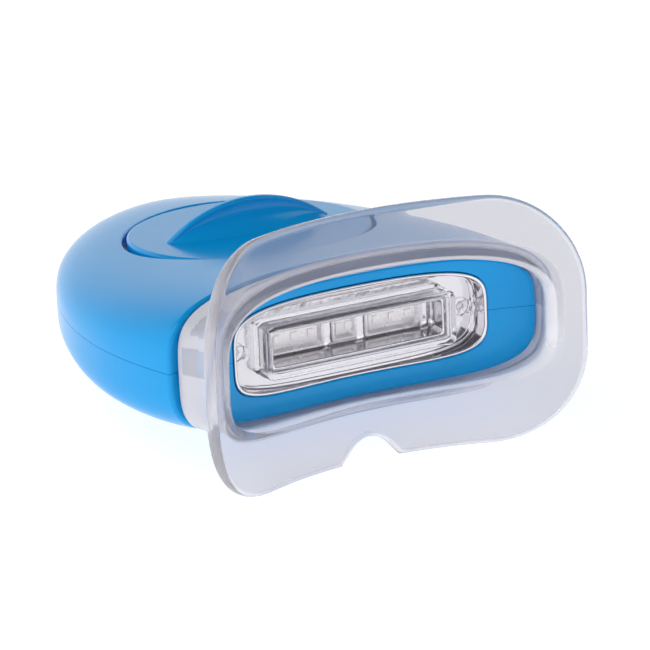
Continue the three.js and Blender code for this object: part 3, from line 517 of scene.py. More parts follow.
def body_solid(body, inset, fillet, around, along):
    """The egg: rings of crown and belly at depths that crowd towards the rear end, the shoulder's edge
    rounded by drawing the first rings in along a quarter circle."""
    angles = turns(around)
    across = super_ring(1.0, 1.0, 4.0, angles)[0]
    upper = np.sin(angles) > 0
    start = body.shoulder_depth + inset
    reach = body.widest_depth + body.rear_length - inset - start
    roll = np.linspace(np.pi / 2, 0, 8)
    swing = np.linspace(np.arcsin(fillet / reach), 0.998 * np.pi / 2, along)
    depth = np.concatenate([start + fillet * (1 - np.sin(roll)), start + reach * np.sin(swing[1:])])[:, None]
    drawn = np.concatenate([fillet * (1 - np.cos(roll)), 0 * swing[1:]])[:, None]
    share = (depth - start) / reach
    height = section_height(body, across, depth, share, inset, upper)
    x = (body_width(body, depth, inset) - drawn) * across
    full = np.where(upper, body.crown_front, body.belly_front) - inset
    z = np.where(upper, 1, -1) * height * (1 - drawn / full)
    y = depth - hollow_reach(body, x) * np.maximum(0, 1 - share / body.shoulder_fade) ** 2
    return mirrored_loft(np.stack([x, y, z], -1))


def crown_height(body, x, y):
    """Height of the crown over a place in plan. The depth of its section follows from the hollow, by
    putting the depth back in a few times."""
    reach = body.widest_depth + body.rear_length - body.shoulder_depth
    depth = np.array(y, float)
    for _ in range(12):
        share = (depth - body.shoulder_depth) / reach
        depth = y + hollow_reach(body, x) * np.maximum(0, 1 - share / body.shoulder_fade) ** 2
    across = np.clip(x / body_width(body, depth), -1, 1)
    return section_height(body, across, depth, share, 0.0, True)


def dropped(half_height, drop, angles):
    """Half height that is greater by a drop below the middle."""
    return half_height + np.where(np.sin(angles) < 0, drop, 0)


def sleeve(body, half_width, half_height, squareness, rows, count=160, drop=0.0):
    """Superellipse prism along Y. Each row gives how far it is let out, its depth at the middle and how
    much of the face's hollow it follows."""
    grid = []
    for outset, depth, hollowed in rows:
        tall = dropped(half_height + outset, drop, turns(count))
        x, z = super_ring(half_width + outset, tall, squareness, turns(count))
        grid.append(np.stack([x, depth - hollowed * hollow_reach(body, x), z], -1))
    return mirrored_loft(np.array(grid))


def rounding(radius, steps=6):
    """Quarter circle as pairs of how far it is drawn in and how far it has run, from edge to side."""
    roll = np.linspace(np.pi / 2, 0, steps + 1)
    return radius * (1 - np.cos(roll)), radius * (1 - np.sin(roll))


def drawn_rows(radius, start, *follow, steps=6):
    """Rows of a solid's rounded edge: drawn in at a depth, and let out along a quarter circle. Each row
    ends with the values that follow."""
    return [(-inward, start + onward, *follow) for inward, onward in zip(*rounding(radius, steps))]


def flared_rows(radius, end, *follow, steps=6):
    """Rows of a cut's rounded edge: it flares along a quarter circle up to a depth."""
    return [(-outset, depth, *follow) for outset, depth in drawn_rows(radius, end, steps=steps)[::-1]]


def foot_rows(radius, knee, floor, *follow):
    """Rows of a cut's rounded foot: it starts drawn in on the floor, and has one knee on the way out."""
    return [(-radius, floor, *follow), (-knee, floor - knee, *follow), (0, floor - radius, *follow)]


def rim_in_well(body, cap, radius, drop):
    """Heights in the cap's frame that lie a drop below the crown, round a circle about its axis."""
    angles = turns(DISC_POINTS)
    x, y = radius * np.cos(angles), radius * np.sin(angles)
    lean = cap.lean
    height = np.zeros_like(x)
    for _ in range(4):
        over = cap.depth + y * math.cos(lean) + height * math.sin(lean)
        crown = crown_height(body, x, over) - drop
        height = (crown - cap.top_height + y * math.sin(lean)) / math.cos(lean)
    return np.stack([x, y, height], -1)


def pin_form(profile, steps, x, y):
    """A turned form that stands at a place in plan."""
    return placed(domed_loft(turned_grid(profile, steps)), Matrix.Translation((x, y, 0)))


def screw_places(body):
    """Where the four screws stand: a distance in from the body's side at two depths."""
    places = []
    for depth, inset in (
        (body.front_screw_depth, body.front_screw_inset), (body.rear_screw_depth, body.rear_screw_inset),
    ):
        x = float(body_width(body, np.array(depth))) - inset
        places += [(-x, depth), (x, depth)]
    return places


def hollow_out(whole, body):
    """Gives the egg its collar and hollows both out by the wall."""
    wall = body.wall
    face = body.shoulder_depth - body.collar_reach
    deep = body.shoulder_depth + wall + OVERRUN / 2
    squareness, drop = body.collar_squareness, body.collar_drop
    width, height = body.collar_half_width, body.collar_half_height
    rows = drawn_rows(body.collar_round, face, 1) + [(0, deep, 0)]
    combined(whole, "UNION", sleeve(body, width, height, squareness, rows, drop=drop))
    inner = body_solid(body, wall, body.inner_round, 96, 40)
    rows = [(0, face + wall, 1), (0, deep + OVERRUN / 2, 0)]
    combined(inner, "UNION", sleeve(body, width - wall, height - wall, squareness, rows, 96, drop))
    combined(whole, "DIFFERENCE", inner)


def shells_form(body, cap, lamp):
    """Both shells in one, before the seam parts them: the hollow egg with the cap's well, the screw
    pillars, the pocket for the light unit and the pad below."""
    well_radius = cap.radius + cap.clearance
    cup_radius = well_radius + cap.well_wall
    floor_top = -cap.thickness - SEAT_GAP
    floor_bottom = floor_top - cap.well_floor
    whole = body_solid(body, 0.0, body.shoulder_fillet, 240, 110)
    envelope = copied(whole)
    hollow_out(whole, body)
    cup = domed_loft(np.array([
        turned_grid([[cup_radius, floor_bottom]], DISC_POINTS)[0],
        rim_in_well(body, cap, cup_radius, body.wall / 2),
    ]))
    combined(whole, "UNION", placed(cup, cap_matrix(cap)))
    radius = body.pillar_radius
    profile = [[radius, -body.belly_front], [radius, body.crown_front]]
    pillars = [pin_form(profile, 48, *place) for place in screw_places(body)]
    for pillar in pillars:
        combined(pillar, "INTERSECT", copied(envelope))
    combined(whole, "UNION", *pillars)
    discard(envelope)

    face = body.shoulder_depth - body.collar_reach
    rows = [(0, lamp.pocket_depth, 0)] + flared_rows(lamp.pocket_fillet, face, 1)
    rows += [(lamp.pocket_fillet, face - OVERRUN, 1)]
    pocket = sleeve(body, lamp.pocket_half_width, lamp.pocket_half_height, lamp.squareness, rows)

    rings = [turned_grid([[well_radius, floor_top]], DISC_POINTS)[0]]
    rings += [
        rim_in_well(body, cap, well_radius + outset, back) for outset, back in flared_rows(cap.well_fillet, 0)
    ]
    rings.append(rings[-1] + [0, 0, OVERRUN])
    well = placed(domed_loft(np.array(rings)), cap_matrix(cap))
    bay_radius = cap.skirt_radius + SEAT_GAP
    bay_profile = [[bay_radius, floor_bottom - OVERRUN / 2], [bay_radius, floor_top + MILLIMETRE]]
    bay = placed(domed_loft(turned_grid(bay_profile, 120)), cap_matrix(cap))

    below = -body.belly_front - OVERRUN / 2
    x, y = super_ring(body.pad_half_width, body.pad_half_length, 2.0, turns(96))
    pad = domed_loft(np.array([
        np.stack([x, y + body.pad_depth, np.full_like(x, height)], -1) for height in (below, -body.pad_height)
    ]))
    head, hole, seat = body.head_hole, body.screw_hole, -body.head_seat
    profile = [[head, below], [head, seat], [hole, seat + MILLIMETRE / 100], [hole, body.screw_tip]]
    screw_holes = [pin_form(profile, 40, *place) for place in screw_places(body)]
    return combined(whole, "DIFFERENCE", pocket, well, bay, pad, *screw_holes)


# Turn cap

def fin_solid(cap):
    """The finger fin: cross sections along an arc of a circle, whose sides spread towards the root by a
    power of the height and whose ridge is rounded."""
    bend = (cap.fin_half_length ** 2 + cap.fin_height ** 2) / (2 * cap.fin_height)
    x = cap.fin_half_length * np.sin(np.linspace(-0.5, 0.5, 121) * np.pi * 0.985)
    height = np.sqrt(bend ** 2 - x ** 2) - (bend - cap.fin_height)
    slim = np.sqrt(np.maximum(0, height / cap.fin_height))
    ridge = np.minimum(cap.fin_ridge, cap.fin_root * slim) / 2
    root = ridge + (cap.fin_root - cap.fin_ridge) / 2 * slim
    corner = np.minimum(cap.fin_round, ridge * 0.8)
    rise = np.linspace(0, 1, 31)
    sides = ridge[:, None] + (root - ridge)[:, None] * (1 - rise) ** cap.fin_flare
    levels = (height - corner)[:, None] * rise
    roll = np.linspace(0, np.pi / 2, 7)[1:]
    top_reach = ridge[:, None] - corner[:, None] * (1 - np.cos(roll))
    top_level = (height - corner)[:, None] + corner[:, None] * np.sin(roll)
    sunk = np.full((len(x), 1), -cap.thickness / 2)
    reach = np.concatenate([root[:, None], sides, top_reach], 1)
    level = np.concatenate([sunk, levels, top_level], 1)
    y = np.concatenate([reach, -reach[:, ::-1]], 1)
    z = np.concatenate([level, level[:, ::-1]], 1)
    return mirrored_loft(np.stack([np.broadcast_to(x[:, None], y.shape), y, z], -1))


def cap_form(cap):
    """Disc with rounded edges, skirt with three lugs, and the fin."""
    under = -cap.thickness
    low, high = drawn_rows(cap.edge_round / 2, under, steps=5), flared_rows(cap.edge_round, 0, steps=8)
    profile = [(cap.radius + outset, height) for outset, height in low]
    profile += [(cap.radius - inset, -down) for inset, down in high]
    whole = domed_loft(turned_grid(profile, DISC_POINTS))
    outer, inner = cap.skirt_radius, cap.skirt_radius - cap.skirt_wall
    bottom, top = under - cap.skirt_length, under + cap.edge_round
    skirt = looped_loft(turned_grid([[inner, bottom], [outer, bottom], [outer, top], [inner, top]], 120))
    lugs = []
    lug_top = under - cap.lug_drop
    for middle in np.pi / 2 + 2 * np.pi * np.arange(3) / 3:
        swing = middle + np.linspace(-cap.lug_half_angle, cap.lug_half_angle, 9)
        arc = np.concatenate([
            np.stack([np.cos(part), np.sin(part)], -1) * radius
            for part, radius in ((swing, outer + cap.lug_reach), (swing[::-1], outer - cap.skirt_wall / 2))
        ])
        levels = (lug_top - cap.lug_height, lug_top)
        rings = [np.column_stack([arc, np.full(len(arc), level)]) for level in levels]
        lugs.append(domed_loft(np.array(rings)))
    return placed(combined(whole, "UNION", skirt, fin_solid(cap), *lugs), cap_matrix(cap))


# Mouthpiece

def flange_place(mouth, along, height, behind):
    """Point on the bent flange: its radius with the distance behind, times sine and cosine of the
    distance along over the radius."""
    radius, swing = mouth.bend + behind, along / mouth.bend
    return np.stack([radius * np.sin(swing), radius * np.cos(swing) - mouth.bend, height + 0 * swing], -1)


def flange_edge(mouth, angles, inset):
    """Outline of the flange, drawn in by an inset: a rounded rectangle, raised at the notch by one less
    a power of the distance across, to another power."""
    half_length = mouth.bend * math.asin(mouth.half_chord / mouth.bend)
    swing = np.arctan2(mouth.half_height * np.sin(angles), half_length * np.cos(angles))
    reach = rounded_reach(half_length - inset, mouth.half_height - inset, mouth.corner - inset, swing)
    along, height = reach * np.cos(swing), reach * np.sin(swing)
    across = np.clip(np.abs(along) / (mouth.notch_half_width + inset), 0, 1)
    lift = mouth.notch_depth * (1 - across ** mouth.notch_crown) ** mouth.notch_foot
    return along, height + np.where(height < 0, lift, 0)


def mouthpiece_form(mouth, body):
    """The mouthpiece's wall as one loop of rings: up the neck's inside, round the window's edge, over
    the flange and its rolled rim, and back down the neck's outside to its rim."""
    half_length = mouth.bend * math.asin(mouth.half_chord / mouth.bend)
    notch = math.atan(mouth.notch_half_width / half_length)
    milk = []
    below = np.linspace(-np.pi / 2 - notch, -np.pi / 2 + notch, 56, endpoint=False)
    rest = np.linspace(-np.pi / 2 + notch, 1.5 * np.pi - notch, 260, endpoint=False)
    angles = np.concatenate([below, rest])
    squareness, drop, gap = body.collar_squareness, body.collar_drop, SEAT_GAP
    outer = mouth.neck_half_width, mouth.neck_half_height
    inner = outer[0] - mouth.neck_wall, outer[1] - mouth.neck_wall
    half = mouth.thickness / 2
    front, back = -half, half
    face = body.shoulder_depth - body.collar_reach

    def outline(half_width, half_height, drop=0.0):
        return super_ring(half_width, dropped(half_height, drop, angles), squareness, angles)

    def surface(x, behind):
        return np.sqrt((mouth.bend + behind) ** 2 - x ** 2) - mouth.bend

    def rim(x):
        return body.shoulder_depth - gap - hollow_reach(body, x)

    def ahead(x):
        return face - hollow_reach(body, x) - 2 * gap

    def ring(half_width, half_height, depth_at, drop=0.0):
        x, z = outline(half_width, half_height, drop)
        return np.stack([x, depth_at(x), z], -1)

    def between(first, last, steps):
        share = np.linspace(0, 1, steps + 1)[1:-1, None, None]
        ease = share * share * (3 - 2 * share)
        sideways, onward = np.array([1, 0, 1]), np.array([0, 1, 0])
        return list(first + (last - first) * (ease * sideways + share * onward))

    def over_flange(first, last, behind, steps):
        share = np.linspace(0, 1, steps + 1)[1:-1, None]
        along, height = (a + (b - a) * share for a, b in zip(first, last))
        return [flange_place(mouth, *pair, behind) for pair in zip(along, height)]

    def on_bend(half_width, half_height, behind):
        x, z = outline(half_width, half_height)
        return mouth.bend * np.arcsin(x / (mouth.bend + behind)), z

    window_width, window_height = mouth.window_half_width, mouth.window_half_height
    fillet = mouth.window_fillet
    root_width, root_height = window_width + mouth.neck_wall, window_height + mouth.neck_wall
    rings = [
        ring(*inner, rim, drop),
        ring(*inner, lambda x: (rim(x) + ahead(x)) / 2, drop),
        ring(*inner, ahead, drop),
    ]
    window = ring(window_width, window_height, lambda x: surface(x, front) + fillet)
    rings += between(rings[-1], window, 10) + [window]
    milk += [mouth.milk_neck] * 3 + [mouth.milk_edge] * 10
    for roll in np.linspace(0, np.pi / 2, 7)[1:]:
        grown, forward = fillet * (1 - math.cos(roll)), fillet * (1 - math.sin(roll))
        size = window_width + grown, window_height + grown
        rings.append(ring(*size, lambda x: surface(x, front) + forward))
    start = on_bend(window_width + fillet, window_height + fillet, front)
    rings += over_flange(start, flange_edge(mouth, angles, half), front, 10)
    milk += [mouth.milk_edge] * 5 + [mouth.milk_flat] * 10
    for roll in np.linspace(-np.pi / 2, np.pi / 2, 13):
        edge = flange_edge(mouth, angles, half * (1 - math.cos(roll)))
        rings.append(flange_place(mouth, *edge, half * math.sin(roll)))
    milk += [mouth.milk_flat] * 2 + [mouth.milk_rim] * 9 + [mouth.milk_flat] * 2
    spread = mouth.root_fillet
    end = on_bend(root_width + spread, root_height + spread, back)
    rings += over_flange(flange_edge(mouth, angles, half), end, back, 10)
    for roll in np.linspace(0, np.pi / 2, 7):
        grown, behind = spread * (1 - math.sin(roll)), spread * (1 - math.cos(roll))
        size = root_width + grown, root_height + grown
        rings.append(ring(*size, lambda x: surface(x, back) + behind))
    turn = mouth.rim_round
    neck = ring(*outer, lambda x: rim(x) - turn, drop)
    milk += [mouth.milk_flat] * 9 + [mouth.milk_edge] * 7
    rings += between(rings[-1], neck, 26) + [neck]
    for roll in np.linspace(0, np.pi / 2, 6)[1:]:
        drawn, short = turn * (1 - math.cos(roll)), turn * (1 - math.sin(roll))
        rings.append(ring(outer[0] - drawn, outer[1] - drawn, lambda x: rim(x) - short, drop))
    milk += [mouth.milk_neck] * (len(rings) - len(milk))
    grid = np.array(rings)
    whole = looped_loft(grid)
    attribute = whole.data.attributes.new("milk", "FLOAT", "POINT")
    attribute.data.foreach_set("value", milk_share(mouth, grid, np.array(milk)[:, None]).ravel())
    return whole


def milk_share(mouth, grid, milk):
    """Each point's share of scattered light: its ring's, less on the window's lower edge, where it fades
    along a logistic curve of the height, and less on the snap ribs' rectangles, which paints the ribs'
    shade seen through the wall."""
    x, y, z = np.moveaxis(grid, -1, 0)
    fade = mouth.milk_fade
    faded = np.where(milk == mouth.milk_edge, mouth.clearing * milk / (1 + np.exp((z + fade) / fade)), 0)
    # Painted shade: the snap ribs' rectangles, where less scatter lets the wall show darker
    in_shaded_rib = np.zeros(z.shape, bool)
    for depth, level, half_depth, half_level in np.array(RIB_SHADE_PATCHES) * MILLIMETRE:
        in_shaded_rib |= (np.abs(y - depth) < half_depth) & (np.abs(z - level) < half_level)
    return milk - faded - mouth.painted_rib_shade * (in_shaded_rib & (np.abs(x) > mouth.rib_shade_start))


# Light unit

def depth_sleeve(outline, rows):
    """Prism along Y from an outline: a function of how far it is let out, which gives X and Z."""
    grid = []
    for outset, depth in rows:
        x, z = outline(outset)
        grid.append(np.stack([x, np.full_like(x, depth), z], -1))
    return mirrored_loft(np.array(grid))


def rounded_outline(half_width, half_height, corner, middle=0.0, count=96):
    """Rounded rectangle that can be let out, with X and Z in a given direction."""
    def outline(outset):
        angles = turns(count)
        swing = np.arctan2(half_height * np.sin(angles), half_width * np.cos(angles))
        reach = rounded_reach(half_width + outset, half_height + outset, max(corner + outset, 1e-5), swing)
        return middle + reach * np.cos(swing), reach * np.sin(swing)
    return outline


def super_outline(half_width, half_height, squareness, count=160):
    """Superellipse that can be let out."""
    return lambda outset: super_ring(half_width + outset, half_height + outset, squareness, turns(count))


def tray_form(lamp, body):
    """The plated tray: a basin with a narrow rim, and the duct that stands in the lens box, whose floor
    has a window for each emitter."""
    gap, wall = lamp.pocket_gap, lamp.tray_wall
    width, height = lamp.pocket_half_width - gap, lamp.pocket_half_height - gap
    lip = body.shoulder_depth - body.collar_reach - lamp.lip
    rows = drawn_rows(lamp.tray_round, lip, 1) + [(0, lamp.floor_depth + lamp.tray_floor, 0)]
    whole = sleeve(body, width, height, lamp.squareness, rows)
    rows = foot_rows(lamp.floor_round, lamp.floor_knee, lamp.floor_depth, 0)
    rows += flared_rows(lamp.tray_round, lip, 1) + [(lamp.tray_round, lip - OVERRUN, 1)]
    combined(whole, "DIFFERENCE", sleeve(body, width - wall, height - wall, lamp.squareness, rows))

    width = lamp.lens_half_width - lamp.lens_wall - SEAT_GAP
    height = lamp.lens_half_height - lamp.lens_wall - SEAT_GAP
    front, floor, wall = lamp.duct_front, lamp.duct_back - lamp.duct_floor, lamp.duct_wall
    rows = drawn_rows(wall / 2, front, steps=4) + [(0, lamp.duct_back)]
    combined(whole, "UNION", depth_sleeve(rounded_outline(width, height, lamp.duct_corner), rows))
    rows = foot_rows(lamp.trough_round, lamp.trough_knee, floor)
    rows += flared_rows(wall / 2, front, steps=4) + [(wall / 2, front - OVERRUN)]
    trough = depth_sleeve(rounded_outline(width - wall, height - wall, lamp.trough_corner), rows)
    rows = [(0, floor - lamp.window_reach), (0, lamp.duct_back + MILLIMETRE)]
    windows = [
        depth_sleeve(rounded_outline(half_width + gap, half_height + gap, lamp.window_corner, middle), rows)
        for node, middle, half_width, half_height in emitter_places(lamp)
    ]
    return combined(whole, "DIFFERENCE", trough, *windows)


def emitter_places(lamp):
    """Each emitter's node, the middle of its package and the package's half sizes."""
    side = lamp.side_spacing / 2
    long, high, square = lamp.side_width / 2, lamp.side_height / 2, lamp.center_size / 2
    return (
        ("led_center", 0.0, square, square), ("led_left", -side, long, high), ("led_right", side, long, high),
    )


def lens_form(lamp):
    """The clear cover: a thin flange, a raised box with rounded edges, hollow from behind, and a bored
    boss at each end."""
    back = lamp.floor_depth - SEAT_GAP
    front = back - lamp.lens_flange
    clearance = lamp.pocket_gap + lamp.tray_wall + SEAT_GAP
    width, height = lamp.pocket_half_width - clearance, lamp.pocket_half_height - clearance
    rows = drawn_rows(lamp.lens_rim, front, steps=4) + [(0, back)]
    whole = depth_sleeve(super_outline(width, height, lamp.squareness), rows)

    sunk = MILLIMETRE / 10
    rows = drawn_rows(lamp.lens_edge, lamp.lens_front, steps=8)
    rows += [(outset, front + sunk - ahead) for outset, ahead in flared_rows(lamp.lens_foot, 0, steps=5)]
    rows += [(lamp.lens_foot, back - sunk)]
    box = depth_sleeve(rounded_outline(lamp.lens_half_width, lamp.lens_half_height, lamp.lens_corner), rows)
    wall = lamp.lens_wall
    rows = drawn_rows(lamp.hollow_round, lamp.lens_front + wall, steps=5) + [(0, back + MILLIMETRE)]
    hollow = depth_sleeve(
        rounded_outline(lamp.lens_half_width - wall, lamp.lens_half_height - wall, lamp.hollow_corner), rows
    )

    top, flare = lamp.boss_reach - front, lamp.bore_flare
    edge = foot_rows(lamp.boss_round, lamp.boss_knee, top)[::-1]
    boss = [(lamp.boss_radius, -front - SEAT_GAP)]
    boss += [(lamp.boss_radius + outset, height) for outset, height in edge]
    bore = [(lamp.boss_bore, -front), (lamp.boss_bore, top - flare), (lamp.boss_bore + flare, top + flare)]
    forward = Matrix.Rotation(math.pi / 2, 4, "X")
    bosses, bores = (
        [placed(domed_loft(turned_grid(profile, steps)), Matrix.Translation((side, 0, 0)) @ forward)
         for side in (lamp.boss_inset - width, width - lamp.boss_inset)]
        for profile, steps in ((boss, 64), (bore, 48))
    )
    combined(whole, "UNION", box, *bosses)
    return combined(whole, "DIFFERENCE", hollow, *bores)


def emitter_form(lamp, middle, half_width, half_height):
    """An emitter: a package with a sloping well and square dice in a row on the well's floor."""
    back = lamp.duct_back
    top = back - lamp.package_height
    floor, edge = top + lamp.well_depth, lamp.package_edge
    package = rounded_outline(half_width, half_height, lamp.package_corner, middle)
    whole = depth_sleeve(package, [(0, back), (0, top + edge), (-edge, top)])
    opening = rounded_outline(
        half_width - lamp.well_edge, half_height - lamp.well_edge, lamp.well_corner, middle
    )
    rows = [(-lamp.well_depth, floor), (0, top), (MILLIMETRE / 100, top - MILLIMETRE)]
    combined(whole, "DIFFERENCE", depth_sleeve(opening, rows))
    side, corner = lamp.die_half, MILLIMETRE / 20
    rows = [(0, floor + SEAT_GAP), (0, floor - lamp.die_height)]
    count = max(1, round(half_width / half_height * 1.5))
    places = middle + 2 * (half_width - side) * ((np.arange(count) + 0.5) / count - 0.5)
    dice = [depth_sleeve(rounded_outline(side, side, corner, place, 32), rows) for place in places]
    return combined(whole, "UNION", *dice)


# Materials

class Socket:
    """An output in a material's tree that can be added, multiplied and so on."""

    def __init__(self, tree, output):
        self.tree = tree
        self.output = output

    def _math(self, operation, other, swapped=False):
        values = (other, self) if swapped else (self, other)
        return self.tree.add("ShaderNodeMath", {"operation": operation}, {0: values[0], 1: values[1]})

    def __add__(self, other):
        return self._math("ADD", other)

    __radd__ = __add__

    def __sub__(self, other):
        return self._math("SUBTRACT", other)

    def __rsub__(self, other):
        return self._math("SUBTRACT", other, swapped=True)

    def __mul__(self, other):
        return self._math("MULTIPLY", other)

    __rmul__ = __mul__

    def over(self, limit):
        """1 where the value is over a limit, else 0."""
        return self._math("GREATER_THAN", limit)


class Tree:
    """A material with a Principled shader, and the means to add nodes before it."""

    def __init__(self, name, **constants):
        self.material = bpy.data.materials.new(name)
        self.material.use_nodes = True
        self.nodes = self.material.node_tree.nodes
        self.links = self.material.node_tree.links
        self.shader = self.nodes["Principled BSDF"]
        for key, value in constants.items():
            self.shader.inputs[key.replace("_", " ").title().replace("Ior", "IOR")].default_value = value

    def set(self, owner, key, value):
        """Links a socket to an input, or writes a constant into it."""
        target = owner.inputs[key]
        if isinstance(value, Socket):
            self.links.new(value.output, target)
        else:
            target.default_value = value

    def add(self, kind, settings=None, inputs=None, output=0):
        """Adds a node of a kind, with settings and inputs, and returns one of its outputs."""
        node = self.nodes.new(kind)
        for key, value in (settings or {}).items():
            setattr(node, key, value)
        for key, value in (inputs or {}).items():
            self.set(node, key, value)
        return Socket(self, node.outputs[output])

    def place(self):
        """The point on the piece, in metres."""
        return self.add("ShaderNodeTexCoord", output="Object")

    def noise(self, scale, detail=2.0, roughness=0.5, where=None):
        """Noise between 0 and 1, with a number of waves in a metre."""
        inputs = {"Vector": where or self.place(), "Scale": scale, "Detail": detail, "Roughness": roughness}
        return self.add("ShaderNodeTexNoise", inputs=inputs)

    def mixed(self, factor, first, second):
        """A colour between two others."""
        inputs = {0: factor, 6: (*first, 1.0), 7: (*second, 1.0)}
        settings = {"data_type": "RGBA"}
        return self.add("ShaderNodeMix", settings, inputs, output=2)

    def bump(self, height, strength, distance):
        """Lets a height stand out of the surface by a distance."""
        inputs = {"Height": height, "Strength": strength, "Distance": distance}
        return self.add("ShaderNodeBump", inputs=inputs)

    def blend(self, factor, other):
        """Puts a second shader over the first one by a factor."""
        own = Socket(self, self.shader.outputs[0])
        mixed = self.add("ShaderNodeMixShader", inputs={0: factor, 1: own, 2: other})
        self.links.new(mixed.output, self.nodes["Material Output"].inputs["Surface"])

    def finish(self, **varying):
        """Links values that change over the surface to the shader, and returns the material."""
        for key, value in varying.items():
            self.set(self.shader, key.replace("_", " ").title(), value)
        return self.material


def blue_plastic(finishes):
    """Polished sky blue moulding: a faint flow mark in its colour, hazy patches in its gloss and the
    fine orange peel of the mould."""
    tree = Tree("blue moulding", specular_ior_level=0.3, ior=1.5)
    blue = Vector(finishes.blue)
    patches = tree.noise(45.0, 3.0)
    haze = tree.noise(160.0, 4.0)
    peel = tree.noise(2600.0, 2.0)
    return tree.finish(
        base_color=tree.mixed(patches, blue * 0.96, blue * 1.04),
        roughness=haze * 0.06 + (finishes.blue_roughness - 0.03),
        normal=tree.bump(peel, 0.04, 0.00003),
    )


def clear_plastic(finishes, name, tint, milk=None):
    """Clear polished moulding with slight waves in its surface. A share of it, which the mesh may give,
    scatters light like thin milk, and where that share is large the tint fades."""
    tree = Tree(name, transmission_weight=1.0, ior=finishes.clear_index)
    waves = tree.noise(120.0, 1.0)
    smear = tree.noise(60.0, 4.0)
    bump = tree.bump(waves, 0.12, 0.0004)
    if milk is None:
        milk = tree.add("ShaderNodeAttribute", {"attribute_name": "milk"}, output=2)
    cloud = tree.add(
        "ShaderNodeBsdfPrincipled",
        inputs={"Base Color": (*finishes.milk, 1.0), "Roughness": 0.15, "Normal": bump},
    )
    tree.blend(milk + (smear - 0.5) * 0.06, cloud)
    return tree.finish(
        base_color=tree.mixed((milk - finishes.tinted_milk) * 5 + (smear - 0.5) * 0.04, tint, finishes.pale),
        roughness=smear * 0.03,
        normal=bump,
    )


def silver_plating(finishes):
    """Bright metallised plastic: soft waves under the plating and a dull bloom in places."""
    tree = Tree("silver plating", metallic=1.0)
    waves = tree.noise(420.0, 2.0)
    bloom = tree.noise(260.0, 4.0)
    silver = Vector(finishes.silver)
    return tree.finish(
        base_color=tree.mixed(bloom, silver * 0.93, silver),
        roughness=bloom * 0.14 + (finishes.silver_roughness - 0.04),
        normal=tree.bump(waves, 0.25, 0.0003),
    )


def emitter_resin(finishes):
    """Silvered package under cast resin: soft waves in the silver, which dull it in places."""
    tree = Tree("emitter resin", metallic=0.8, coat_weight=1.0, coat_roughness=0.08)
    waves = tree.noise(700.0, 3.0)
    resin = Vector(finishes.resin)
    return tree.finish(
        base_color=tree.mixed(waves, resin * 0.9, resin),
        roughness=waves * 0.3 + 0.15,
        normal=tree.bump(waves, 0.3, 0.0002),
    )


def moulded(name, first, second, roughness, grain):
    """Fine matt moulding: two close shades and a grain of a number of waves in a metre."""
    tree = Tree(name)
    texture = tree.noise(grain, 3.0)
    return tree.finish(
        base_color=tree.mixed(texture, first, second),
        roughness=texture * 0.15 + (roughness - 0.07),
        normal=tree.bump(texture, 0.15, 0.00005),
    )


def plated_steel():
    """Nickel plate with fine drawn lines across."""
    tree = Tree("nickel plate", metallic=1.0)
    stretched = tree.add(
        "ShaderNodeMapping", inputs={"Vector": tree.place(), "Scale": (1.0, 40.0, 40.0)}
    )
    lines = tree.noise(120.0, 3.0, where=stretched)
    return tree.finish(
        base_color=tree.mixed(lines, (0.55, 0.56, 0.57), (0.72, 0.73, 0.74)),
        roughness=lines * 0.2 + 0.2,
        normal=tree.bump(lines, 0.1, 0.00003),
    )


def circuit_board():
    """Green mask over copper: paler where a wave-like trace runs below it."""
    tree = Tree("circuit board", coat_weight=0.4, coat_roughness=0.2)
    grain = tree.noise(500.0, 2.0)
    bands = tree.add(
        "ShaderNodeTexWave", {"wave_type": "BANDS", "bands_direction": "DIAGONAL"},
        {"Vector": tree.place(), "Scale": 220.0, "Distortion": 3.0, "Detail": 1.0}, output=1,
    )
    trace = bands.over(0.72)
    return tree.finish(
        base_color=tree.mixed(trace, (0.012, 0.13, 0.05), (0.04, 0.26, 0.1)),
        roughness=grain * 0.2 + 0.35,
        normal=tree.bump(trace, 0.3, 0.00004),
    )


def paint(node, material):
    """Gives a carried-over CAD node its finish."""
    for slot in frame["nodes"][node].material_slots:
        slot.material = material


# Operators

class WHITENING_OT_shells(Operator):
    """Makes the upper and the lower shell"""

    bl_idname = "whitening.shells"
    bl_label = "Shells"

    def execute(self, context):
        scene = context.scene
        body = scene.whitening_body
        material = blue_plastic(scene.whitening_finishes)
        upper = shells_form(body, scene.whitening_cap, scene.whitening_lamp)
        lower = copied(upper)
        reach, half_seam = 0.2, body.seam / 2
        combined(upper, "INTERSECT", box_solid((-reach, -reach, half_seam), (reach, reach, reach)))
        combined(lower, "INTERSECT", box_solid((-reach, -reach, -reach), (reach, reach, -half_seam)))
        finished(upper, "upper_shell_moulding", "housing", "blue_plastic", material, "upper_shell")
        finished(lower, "lower_shell_moulding", "housing", "blue_plastic", material, "lower_shell")
        return {"FINISHED"}


class WHITENING_OT_cap(Operator):
    """Makes the turn cap with its finger fin"""

    bl_idname = "whitening.cap"
    bl_label = "Turn cap"

    def execute(self, context):
        material = bpy.data.materials["blue moulding"]
        piece = cap_form(context.scene.whitening_cap)
        finished(piece, "turn_cap_moulding", "turn_cap", "blue_plastic", material, "turn_cap")
        return {"FINISHED"}


class WHITENING_OT_mouthpiece(Operator):
    """Makes the clear mouthpiece"""

    bl_idname = "whitening.mouthpiece"
    bl_label = "Mouthpiece"

    def execute(self, context):
        scene = context.scene
        finishes = scene.whitening_finishes
        piece = mouthpiece_form(scene.whitening_mouthpiece, scene.whitening_body)
        material = clear_plastic(finishes, "clear moulding", finishes.clear)
        names = "mouthpiece_moulding", "mouthpiece", "clear_plastic"
        finished(piece, *names, material, "mouthpiece", sharp=50)
        return {"FINISHED"}


